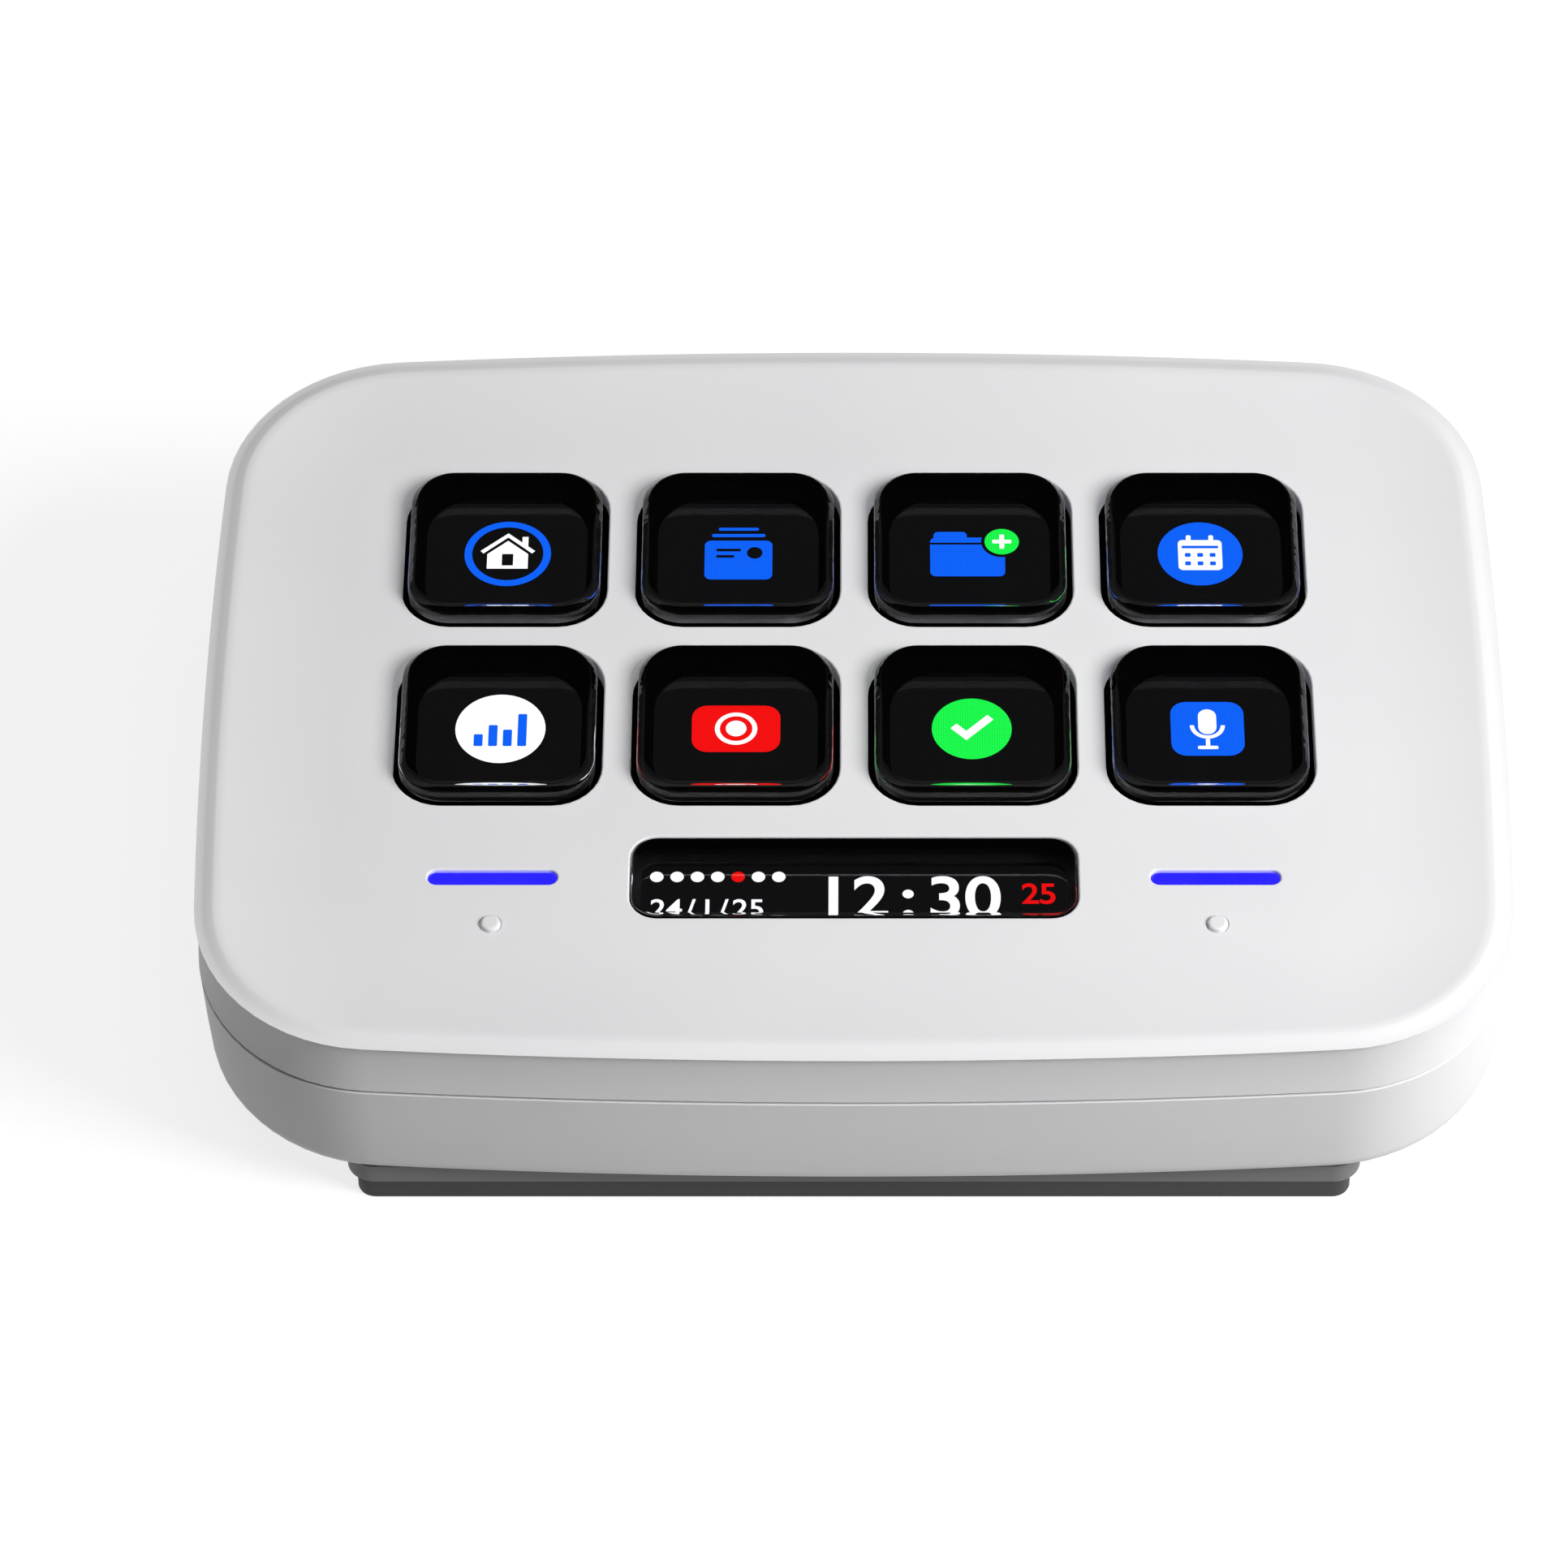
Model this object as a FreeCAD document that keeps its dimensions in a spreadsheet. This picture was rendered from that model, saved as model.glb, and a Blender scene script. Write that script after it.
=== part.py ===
"""Desk keypad with eight clear keys over one display, an info window and a wedge foot."""
import math
import os
from types import SimpleNamespace
import FreeCAD
import Part
from Sketcher import Constraint

# Counts of the key grid
COLUMNS = 4
ROWS = 2

# Flats that stand for a small circle, and for one round corner of a cap
RING_SIDES = 12
CORNER_FLATS = 4

# Driving dimensions, in millimetres and degrees
SIZES = (
    ("tilt", 4.5),
    # Housing outline
    ("side_bow", 280.0),
    ("front_bow", 600.0),
    ("corner_round", 14.4),
    ("side_margin", 8.5),
    ("front_margin", 5.53),
    # Top cover
    ("cover_height", 5.75),
    ("cover_wall", 1.7),
    ("cover_plate", 1.5),
    ("rim_band", 1.75),
    ("dish_slope", 6.5),
    ("dish_drop", 0.55),
    ("dot_radius", 0.8),
    ("dot_height", 0.28),
    ("dot_step", 4.9),
    # Bottom shell
    ("seam_gap", 0.25),
    ("shell_wall", 2.6),
    ("shell_floor", 2.0),
    ("shell_taper", 0.3),
    ("shell_round", 2.0),
    ("tongue_gap", 0.15),
    ("tongue_rise", 1.4),
    # Keys
    ("key_field_row", 6.28),
    ("opening_size", 17.15),
    ("key_web", 2.3),
    ("opening_round", 4.1),
    ("opening_lip", 0.35),
    ("cap_gap", 0.45),
    ("cap_rise", 1.5),
    ("cap_shoulder", 0.9),
    ("cap_draft", 0.6),
    ("core_drop", 0.9),
    ("core_gap", 0.45),
    ("core_round", 4.2),
    ("tab_width", 8.0),
    ("tab_thick", 0.8),
    ("tab_lap", 0.42),
    ("tab_gap", 0.2),
    ("key_travel", 1.0),
    ("dome_left", 0.6),
    ("dome_inset", 0.3),
    ("dome_wall", 1.2),
    ("dome_corner", 3.0),
    # Frame under the cover
    ("frame_side", 0.5),
    ("frame_rim", 0.8),
    ("frame_round", 6.0),
    ("frame_gap", 0.25),
    ("well_corner", 1.2),
    ("ledge_thick", 0.5),
    ("ledge_reach", 1.8),
    ("post_size", 4.0),
    ("post_gap", 0.6),
    ("post_column", 30.0),
    # Info window, light bars and touch patches
    ("window_width", 36.2),
    ("window_depth", 8.5),
    ("window_round", 2.25),
    ("window_space", 2.2),
    ("window_gap", 0.1),
    ("window_proud", 0.15),
    ("window_lap", 0.8),
    ("window_flange", 1.6),
    ("bar_length", 10.5),
    ("bar_width", 1.5),
    ("bar_column", 29.1),
    ("bar_sink", 0.1),
    ("bar_gap", 0.06),
    ("bar_lap", 0.5),
    ("patch_width", 8.0),
    ("patch_depth", 4.6),
    ("patch_thick", 0.3),
    # Display stack
    ("display_side", 1.4),
    ("display_back_margin", 0.2),
    ("display_front_margin", 3.2),
    ("glass_thick", 1.5),
    ("backlight_thick", 1.8),
    ("display_gap", 0.2),
    ("tray_thick", 0.5),
    ("flex_width", 20.0),
    ("flex_thick", 0.25),
    ("flex_run", 0.9),
    # Main board
    ("board_gap", 3.25),
    ("board_thick", 1.2),
    ("board_back_gap", 1.6),
    ("board_round", 3.0),
    ("connector_height", 1.0),
    ("connector_depth", 3.6),
    # Data socket
    ("socket_width", 8.94),
    ("socket_height", 3.26),
    ("socket_depth", 7.4),
    ("socket_wall", 0.3),
    ("socket_set_in", 0.4),
    ("socket_gap", 0.22),
    ("tongue_width", 6.7),
    ("tongue_plate", 0.7),
    ("tongue_depth", 4.5),
    # Screws and the bosses that they hold in
    ("boss_gap", 0.7),
    ("boss_radius", 2.8),
    ("boss_inset", 14.7),
    ("boss_rise", 3.0),
    ("rib_thick", 1.0),
    ("standoff_size", 5.0),
    ("standoff_inset", 4.3),
    ("standoff_step", 8.2),
    ("big_shank", 1.25),
    ("big_head", 2.3),
    ("big_head_height", 1.5),
    ("small_shank", 0.95),
    ("small_head", 1.8),
    ("small_head_height", 1.0),
    ("bore_gap", 0.05),
    ("sink_gap", 0.3),
    ("case_sink", 2.6),
    ("case_bite", 5.0),
    ("plinth_bite", 3.0),
    # Ballast plate and foot
    ("ballast_thick", 1.5),
    ("ballast_air", 0.3),
    ("ballast_gap", 2.0),
    ("pad_side", 4.35),
    ("pad_thick", 2.0),
    ("pad_round", 1.5),
    ("pad_edge", 0.4),
    ("pad_overhang", 17.4),
    ("plinth_step", 0.8),
    ("plinth_seat", 1.2),
    ("plinth_screw_inset", 5.0),
    ("foot_set_back", 3.2),
    ("front_clearance", 3.6),
)


class Size:
    """A length that carries its number and the sheet formula behind it."""

    def __init__(self, number, formula=None):
        self.number = float(number)
        self.formula = formula or repr(float(number))

    def __add__(self, other):
        other = as_size(other)
        return Size(self.number + other.number, f"({self.formula} + {other.formula})")

    def __sub__(self, other):
        other = as_size(other)
        return Size(self.number - other.number, f"({self.formula} - {other.formula})")

    def __mul__(self, other):
        other = as_size(other)
        return Size(self.number * other.number, f"({self.formula} * {other.formula})")

    def __truediv__(self, other):
        other = as_size(other)
        return Size(self.number / other.number, f"({self.formula} / {other.formula})")

    def __neg__(self):
        return Size(-self.number, f"(0 - {self.formula})")

    __radd__ = __add__
    __rmul__ = __mul__


def as_size(value):
    return value if isinstance(value, Size) else Size(value)


def cosine(angle):
    return Size(math.cos(math.radians(angle.number)), f"cos({angle.formula} * 1 deg)")


def sine(angle):
    return Size(math.sin(math.radians(angle.number)), f"sin({angle.formula} * 1 deg)")


def make_sheet(doc):
    """Write every driving dimension to its own named cell."""
    sheet = doc.addObject("Spreadsheet::Sheet", "Sheet")
    for row, (name, number) in enumerate(SIZES, start=1):
        sheet.set(f"A{row}", name)
        sheet.set(f"B{row}", str(number))
        sheet.setAlias(f"B{row}", name)
    doc.recompute()
    return {name: Size(sheet.get(name), f"Sheet.{name}") for name, _ in SIZES}


doc = FreeCAD.newDocument("Keypad")
S = SimpleNamespace(**make_sheet(doc))

# Levels along the panel's normal, from the top of the rim downwards
L = SimpleNamespace()
L.panel = -S.dish_drop
L.plate_under = L.panel - S.cover_plate
L.cover_foot = -S.cover_height
L.shell_top = L.cover_foot - S.seam_gap
L.boss_meet = L.shell_top - S.boss_rise
L.tab_top = L.plate_under - S.tab_gap
L.cap_foot = L.tab_top - S.tab_thick
L.ledge = L.cap_foot - S.key_travel - S.dome_left
L.frame_foot = L.ledge - S.ledge_thick
L.glass_foot = L.frame_foot - S.glass_thick
L.light_foot = L.glass_foot - S.backlight_thick
L.tray_foot = L.light_foot - S.tray_thick
L.board_top = L.tray_foot - S.board_gap
L.board_foot = L.board_top - S.board_thick
L.floor = L.board_foot - S.ballast_thick - S.ballast_air
L.body_foot = L.floor - S.shell_floor

# Sizes and places that follow from the keys outwards: display, frame, board, bosses, housing
D = SimpleNamespace()
D.key_pitch = S.opening_size + S.key_web
D.cap_size = S.opening_size - 2 * S.cap_gap
D.cap_round = S.opening_round - S.cap_gap
D.tab_span = S.opening_size + 2 * S.tab_lap
D.well_size = D.tab_span + 2 * S.frame_gap
D.dome_size = D.tab_span - 2 * S.dome_inset
D.aperture_size = D.well_size - 2 * S.ledge_reach
D.first_column = -D.key_pitch * ((COLUMNS - 1) / 2)
D.front_row = S.key_field_row - D.key_pitch * ((ROWS - 1) / 2)
D.window_row = S.key_field_row - D.key_pitch * (ROWS / 2) - S.window_space - S.window_depth / 2
D.dot_row = D.window_row - S.dot_step
D.bar_flange_length = S.bar_length + 2 * S.bar_lap
D.bar_flange_width = S.bar_width + 2 * S.bar_lap
D.display_width = D.key_pitch * COLUMNS + 2 * S.display_side
D.display_back = S.key_field_row + D.key_pitch * (ROWS / 2) + S.display_back_margin
D.display_front = D.window_row - S.window_depth / 2 - S.display_front_margin
D.display_depth = D.display_back - D.display_front
D.display_row = (D.display_back + D.display_front) / 2
D.tray_wall = S.display_gap + S.tray_thick
D.post_back = D.display_back + D.tray_wall + S.post_gap + S.post_size / 2
D.post_front = D.tray_wall + S.post_gap + S.post_size / 2 - D.display_front
D.frame_width = D.display_width + 2 * (D.tray_wall + S.frame_side)
D.frame_back = D.post_back + S.post_size / 2 + S.frame_rim
D.frame_front = D.post_front + S.post_size / 2 + S.frame_rim
D.boss_column = D.frame_width / 2 + S.boss_gap + S.boss_radius
D.half_width = D.boss_column + S.side_margin
D.half_depth = D.frame_front + S.front_margin
D.boss_row = D.half_depth - S.boss_inset
D.board_back = D.half_depth - S.shell_wall - S.board_back_gap
D.socket_row = L.board_top + S.socket_height / 2
D.socket_face = D.half_depth - S.socket_set_in
D.standoff_column = D.display_width / 2 - S.standoff_inset
D.pad_width = 2 * (D.standoff_column + S.pad_side)
D.pad_depth = 2 * D.half_depth - S.pad_overhang
D.pad_reach = D.pad_depth / 2 + S.plinth_step

# Where the panel's origin stands over the foot, and the rows of the standoffs below it
body_back = D.half_depth * cosine(S.tilt) + L.body_foot * sine(S.tilt)
panel_y = body_back - D.pad_depth / 2 - S.foot_set_back
panel_z = S.front_clearance + D.half_depth * sine(S.tilt) - L.body_foot * cosine(S.tilt)
D.foot_screw_row = (D.pad_reach - panel_y) / cosine(S.tilt) - S.plinth_screw_inset
D.board_rest_row = S.standoff_step - D.frame_front
foot_screw_places = ((-D.standoff_column, D.foot_screw_row), (D.standoff_column, D.foot_screw_row))
board_rest_places = ((-D.standoff_column, D.board_rest_row), (D.standoff_column, D.board_rest_row))


def on_panel(column=0.0, row=0.0):
    """Placement of a piece that is drawn in the tilted panel's frame."""
    base = FreeCAD.Vector(0, panel_y.number, panel_z.number)
    turn = FreeCAD.Rotation(FreeCAD.Vector(1, 0, 0), S.tilt.number)
    shift = FreeCAD.Placement(FreeCAD.Vector(column, row, 0), FreeCAD.Rotation())
    return FreeCAD.Placement(base, turn).multiply(shift)


def new_body(label, several=False):
    body = doc.addObject("PartDesign::Body", label)
    body.Label = label
    body.AllowCompound = several
    return body


def origin_part(body, role):
    return next(part for part in body.Origin.OriginFeatures if part.Role == role)


def new_sketch(body, plane="XY_Plane", offset=0.0):
    """A sketch on one of the body's own origin planes, moved along its normal."""
    sketch = body.newObject("Sketcher::SketchObject", f"{body.Name}_sketch")
    sketch.AttachmentSupport = [(origin_part(body, plane), "")]
    sketch.MapMode = "FlatFace"
    sketch.setExpression("AttachmentOffset.Base.z", as_size(offset).formula)
    return sketch


def bind(sketch, constraint, size):
    """Add a dimension whose value comes from the sheet."""
    sketch.setExpression(f"Constraints[{sketch.addConstraint(constraint)}]", size.formula)


def place(sketch, geometry, point, x, y):
    """Hold one point of a sketch at sheet coordinates."""
    bind(sketch, Constraint("DistanceX", -1, 1, geometry, point, x.number), x)
    bind(sketch, Constraint("DistanceY", -1, 1, geometry, point, y.number), y)


def arc(centre, radius, start, end):
    circle = Part.Circle(FreeCAD.Vector(*centre, 0), FreeCAD.Vector(0, 0, 1), radius)
    return Part.ArcOfCircle(circle, start, end)


def close_chain(sketch, ids):
    """Join each curve's end to the next one's start, tangent to it."""
    for this, following in zip(ids, ids[1:] + ids[:1]):
        sketch.addConstraint(Constraint("Tangent", this, 2, following, 1))


def draw_outline(sketch, inset=0.0):
    """The housing's outline: four long bowed edges joined by four corner arcs."""
    inset = as_size(inset)
    half_x = D.half_width - inset
    half_y = D.half_depth - inset
    side = S.side_bow - inset
    front = S.front_bow - inset
    corner = S.corner_round - inset
    side_x = half_x - side
    front_y = half_y - front
    centre = corner_centre(side_x.number, side.number, front_y.number, front.number, corner.number)
    low = math.atan2(centre[1], centre[0] - side_x.number)
    high = math.atan2(centre[1] - front_y.number, centre[0])
    half = math.pi / 2
    ids = []
    for turn in range(4):
        flip_x = 1 if turn in (0, 3) else -1
        flip_y = 1 if turn in (0, 1) else -1
        middle = (centre[0] * flip_x, centre[1] * flip_y)
        if turn in (0, 2):
            edge_middle = (side_x.number * flip_x, 0)
            edge = arc(edge_middle, side.number, turn * half - low, turn * half + low)
            bend = arc(middle, corner.number, turn * half + low, turn * half + high)
        else:
            edge_middle = (0, front_y.number * flip_y)
            edge = arc(edge_middle, front.number, turn * half - (half - high), turn * half + (half - high))
            bend = arc(middle, corner.number, turn * half + (half - high), turn * half + (half - low))
        edge_id = sketch.addGeometry(edge, False)
        bend_id = sketch.addGeometry(bend, False)
        ids += [edge_id, bend_id]
        if turn in (0, 2):
            place(sketch, edge_id, 3, side_x * flip_x, Size(0))
            bind(sketch, Constraint("Radius", edge_id, side.number), side)
        else:
            place(sketch, edge_id, 3, Size(0), front_y * flip_y)
            bind(sketch, Constraint("Radius", edge_id, front.number), front)
        bind(sketch, Constraint("Radius", bend_id, corner.number), corner)
    close_chain(sketch, ids)


def corner_centre(side_x, side, front_y, front, corner):
    """Centre of the corner arc that touches both bowed edges from inside."""
    reach_side = side - corner
    reach_front = front - corner
    span = math.hypot(side_x, front_y)
    along = (span ** 2 + reach_side ** 2 - reach_front ** 2) / (2 * span)
    across = math.sqrt(reach_side ** 2 - along ** 2)
    unit_x = -side_x / span
    unit_y = front_y / span
    first = (side_x + along * unit_x - across * unit_y, along * unit_y + across * unit_x)
    second = (side_x + along * unit_x + across * unit_y, along * unit_y - across * unit_x)
    return max(first, second, key=lambda point: point[0] + point[1])


def draw_box(sketch, width, depth, radius, x=0.0, y=0.0):
    """A rectangle with rounded corners, centred on x and y."""
    width, depth, radius, x, y = (as_size(value) for value in (width, depth, radius, x, y))
    right = x + width / 2
    left = x - width / 2
    back = y + depth / 2
    front = y - depth / 2
    cut = radius.number
    inner = ((right.number - cut, back.number - cut), (left.number + cut, back.number - cut),
             (left.number + cut, front.number + cut), (right.number - cut, front.number + cut))
    ids = []
    for turn, middle in enumerate(inner):
        bend = arc(middle, cut, turn * math.pi / 2, (turn + 1) * math.pi / 2)
        ids.append(sketch.addGeometry(bend, False))
        start = sketch.getPoint(ids[-1], 2)
        following = inner[(turn + 1) % 4]
        reach = (math.cos((turn + 1) * math.pi / 2) * cut, math.sin((turn + 1) * math.pi / 2) * cut)
        end = FreeCAD.Vector(following[0] + reach[0], following[1] + reach[1], 0)
        ids.append(sketch.addGeometry(Part.LineSegment(start, end), False))
    close_chain(sketch, ids)
    bends, edges = ids[0::2], ids[1::2]
    for bend in bends:
        bind(sketch, Constraint("Radius", bend, cut), radius)
    for edge, way in zip(edges, ("Horizontal", "Vertical", "Horizontal", "Vertical")):
        sketch.addConstraint(Constraint(way, edge))
    bind(sketch, Constraint("DistanceY", -1, 1, edges[0], 1, back.number), back)
    bind(sketch, Constraint("DistanceX", -1, 1, edges[1], 1, left.number), left)
    bind(sketch, Constraint("DistanceY", -1, 1, edges[2], 1, front.number), front)
    bind(sketch, Constraint("DistanceX", -1, 1, edges[3], 1, right.number), right)


def draw_polygon(sketch, points):
    """Straight edges through sheet coordinates, closed."""
    ids = []
    for (x, y), (far_x, far_y) in zip(points, points[1:] + points[:1]):
        start = FreeCAD.Vector(x.number, y.number, 0)
        end = FreeCAD.Vector(far_x.number, far_y.number, 0)
        ids.append(sketch.addGeometry(Part.LineSegment(start, end), False))
    for this, following in zip(ids, ids[1:] + ids[:1]):
        sketch.addConstraint(Constraint("Coincident", this, 2, following, 1))
    for edge, (x, y) in zip(ids, points):
        place(sketch, edge, 1, x, y)


def draw_slot(sketch, length, width, x=0.0, y=0.0):
    """A slot with half-round ends, lying along x."""
    length, width, x, y = (as_size(value) for value in (length, width, x, y))
    radius = width / 2
    right = x + (length / 2 - radius)
    left = x - (length / 2 - radius)
    half = math.pi / 2
    first = sketch.addGeometry(arc((right.number, y.number), radius.number, -half, half), False)
    top = sketch.addGeometry(Part.LineSegment(sketch.getPoint(first, 2), FreeCAD.Vector(
        left.number, y.number + radius.number, 0)), False)
    second = sketch.addGeometry(arc((left.number, y.number), radius.number, half, 3 * half), False)
    foot = Part.LineSegment(sketch.getPoint(second, 2), sketch.getPoint(first, 1))
    bottom = sketch.addGeometry(foot, False)
    close_chain(sketch, [first, top, second, bottom])
    bind(sketch, Constraint("Radius", first, radius.number), radius)
    place(sketch, first, 3, right, y)
    place(sketch, second, 3, left, y)


def draw_circle(sketch, radius, x=0.0, y=0.0):
    radius, x, y = (as_size(value) for value in (radius, x, y))
    circle = Part.Circle(FreeCAD.Vector(x.number, y.number, 0), FreeCAD.Vector(0, 0, 1), radius.number)
    index = sketch.addGeometry(circle, False)
    bind(sketch, Constraint("Radius", index, radius.number), radius)
    place(sketch, index, 3, x, y)


def raise_by(body, sketch, length, down=False):
    """Pad a sketch along its normal, or against it."""
    pad = body.newObject("PartDesign::Pad", f"{body.Name}_pad")
    pad.Profile = sketch
    pad.Reversed = down
    pad.setExpression("Length", as_size(length).formula)
    sketch.Visibility = False
    doc.recompute()
    return pad


def cut_by(body, sketch, length, up=False):
    """Pocket a sketch against its normal, or along it, and make sure that it cut."""
    before = body.Shape.Volume
    pocket = body.newObject("PartDesign::Pocket", f"{body.Name}_pocket")
    pocket.Profile = sketch
    pocket.Reversed = up
    pocket.setExpression("Length", as_size(length).formula)
    sketch.Visibility = False
    doc.recompute()
    if not body.Shape.Volume < before:
        raise RuntimeError(f"{pocket.Name} cuts nothing")
    return pocket


def loft_between(body, kind, first, last):
    loft = body.newObject(f"PartDesign::{kind}Loft", f"{body.Name}_loft")
    loft.Profile = first
    loft.Sections = [last]
    loft.Ruled = True
    doc.recompute()
    return loft


def soften(body, radius, chosen):
    """Fillet the tip's edges that a test picks out."""
    base = body.Tip
    names = [f"Edge{i}" for i, edge in enumerate(base.Shape.Edges, start=1) if chosen(edge)]
    fillet = body.newObject("PartDesign::Fillet", f"{body.Name}_fillet")
    fillet.Base = (base, names)
    fillet.setExpression("Radius", as_size(radius).formula)
    doc.recompute()
    return fillet


def bevel(body, size, chosen):
    """Chamfer the tip's edges that a test picks out."""
    base = body.Tip
    names = [f"Edge{i}" for i, edge in enumerate(base.Shape.Edges, start=1) if chosen(edge)]
    chamfer = body.newObject("PartDesign::Chamfer", f"{body.Name}_chamfer")
    chamfer.Base = (base, names)
    chamfer.setExpression("Size", as_size(size).formula)
    doc.recompute()
    return chamfer


def level(edge):
    """The height of a flat edge in its body's frame, or None if it isn't flat."""
    box = edge.BoundBox
    return box.Center.z if box.ZLength < 1e-4 else None


def at_level(height, limit_x=None, limit_y=None):
    """A test for flat edges at one height, inside a window round the origin."""
    def test(edge):
        flat = level(edge)
        if flat is None or abs(flat - height.number) > 1e-3:
            return False
        box = edge.BoundBox
        if limit_x and max(abs(box.XMin), abs(box.XMax)) > limit_x.number:
            return False
        if limit_y and max(abs(box.YMin), abs(box.YMax)) > limit_y.number:
            return False
        return True
    return test


def repeat(body, originals, *ways):
    """Repeat features along the body's own axes; a way is axis, extent and count."""
    multi = body.newObject("PartDesign::MultiTransform", f"{body.Name}_pattern")
    multi.Originals = originals
    steps = []
    for axis, extent, count in ways:
        step = doc.addObject("PartDesign::LinearPattern", f"{body.Name}_step")
        body.addObject(step)
        step.Direction = (origin_part(body, axis), [""])
        step.setExpression("Length", as_size(extent).formula)
        step.Occurrences = count
        steps.append(step)
    multi.Transformations = steps
    body.Tip = multi
    doc.recompute()
    return multi


def repeat_keys(body, originals):
    """Carry features from the first key's place to every key's place."""
    return repeat(body, originals, ("X_Axis", D.key_pitch * (COLUMNS - 1), COLUMNS),
                  ("Y_Axis", D.key_pitch * (ROWS - 1), ROWS))


def corners(column, front, back):
    """The four places of a rectangular set of bosses or posts."""
    return ((-column, -front), (column, -front), (-column, back), (column, back))


# Top cover

def make_top_cover():
    body = new_body("top_cover")
    outer = new_sketch(body, offset=L.cover_foot)
    draw_outline(outer)
    raise_by(body, outer, S.cover_height)
    inner = new_sketch(body, offset=L.cover_foot)
    draw_outline(inner, S.cover_wall)
    cut_by(body, inner, L.plate_under - L.cover_foot, up=True)
    dish_rim = new_sketch(body)
    draw_outline(dish_rim, S.rim_band)
    dish_foot = new_sketch(body, offset=L.panel)
    draw_outline(dish_foot, S.rim_band + S.dish_slope)
    loft_between(body, "Subtractive", dish_rim, dish_foot)
    opening = new_sketch(body)
    draw_box(opening, S.opening_size, S.opening_size, S.opening_round, D.first_column, D.front_row)
    through = S.dish_drop + S.cover_plate + 1
    repeat_keys(body, [cut_by(body, opening, through)])
    openings = new_sketch(body)
    draw_box(openings, S.window_width, S.window_depth, S.window_round, 0, D.window_row)
    draw_slot(openings, S.bar_length, S.bar_width, -S.bar_column, D.window_row)
    draw_slot(openings, S.bar_length, S.bar_width, S.bar_column, D.window_row)
    cut_by(body, openings, through)
    bevel(body, S.opening_lip, at_level(L.panel, D.key_pitch * (COLUMNS / 2), D.key_pitch * ROWS))
    dots = new_sketch(body, offset=L.panel)
    for side in (-1, 1):
        draw_circle(dots, S.dot_radius, S.bar_column * side, D.dot_row)
    raise_by(body, dots, S.dot_height)
    add_cover_bosses(body)
    body.Placement = on_panel()
    return body


def add_cover_bosses(body):
    """Four screw bosses under the plate, each tied to the side wall by a rib."""
    bosses = new_sketch(body, offset=L.plate_under)
    for x, y in corners(D.boss_column, D.boss_row, D.boss_row):
        draw_polygon(bosses, ring_points(S.boss_radius, x, y))
    raise_by(body, bosses, L.plate_under - L.boss_meet, down=True)
    ribs = new_sketch(body, offset=L.plate_under)
    rib_end = D.half_width - S.cover_wall * 0.75
    rib_start = D.boss_column + S.boss_radius * 0.8
    for side in (-1, 1):
        for row in (-1, 1):
            middle = (rib_start + rib_end) / 2 * side
            draw_polygon(ribs, box_points(middle, D.boss_row * row, rib_end - rib_start, S.rib_thick))
    raise_by(body, ribs, L.plate_under - L.cover_foot - S.rib_thick / 2, down=True)
    bores = new_sketch(body, offset=L.boss_meet)
    for x, y in corners(D.boss_column, D.boss_row, D.boss_row):
        draw_polygon(bores, ring_points(S.big_shank + S.bore_gap, x, y))
    cut_by(body, bores, L.plate_under - L.boss_meet - S.rib_thick / 2, up=True)


def cut_box(size, cut, x=0.0, y=0.0):
    """A square with its corners cut off, as eight points."""
    size, cut, x, y = (as_size(value) for value in (size, cut, x, y))
    far = size / 2
    near = far - cut
    ring = ((far, -near), (far, near), (near, far), (-near, far),
            (-far, near), (-far, -near), (-near, -far), (near, -far))
    return tuple((x + across, y + along) for across, along in ring)


def box_points(x, y, width, depth):
    """A rectangle as four points."""
    x, y, width, depth = (as_size(value) for value in (x, y, width, depth))
    return ((x - width / 2, y - depth / 2), (x + width / 2, y - depth / 2),
            (x + width / 2, y + depth / 2), (x - width / 2, y + depth / 2))


def ring_points(radius, x=0.0, y=0.0):
    """A round outline as twelve points, for small bosses and screws."""
    radius, x, y = (as_size(value) for value in (radius, x, y))
    step = 2 * math.pi / RING_SIDES
    turns = [i * step for i in range(RING_SIDES)]
    return tuple((x + radius * math.cos(turn), y + radius * math.sin(turn)) for turn in turns)


def bent_box_points(size, radius):
    """A square whose round corners are four short flats each, for the repeated caps."""
    size, radius = (as_size(value) for value in (size, radius))
    middle = size / 2 - radius
    step = math.pi / 2 / CORNER_FLATS
    points = []
    for turn, (side_x, side_y) in enumerate(((1, 1), (-1, 1), (-1, -1), (1, -1))):
        for i in range(CORNER_FLATS + 1):
            angle = turn * math.pi / 2 + i * step
            points.append((middle * side_x + radius * math.cos(angle),
                           middle * side_y + radius * math.sin(angle)))
    return tuple(points)


# Bottom shell

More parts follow.
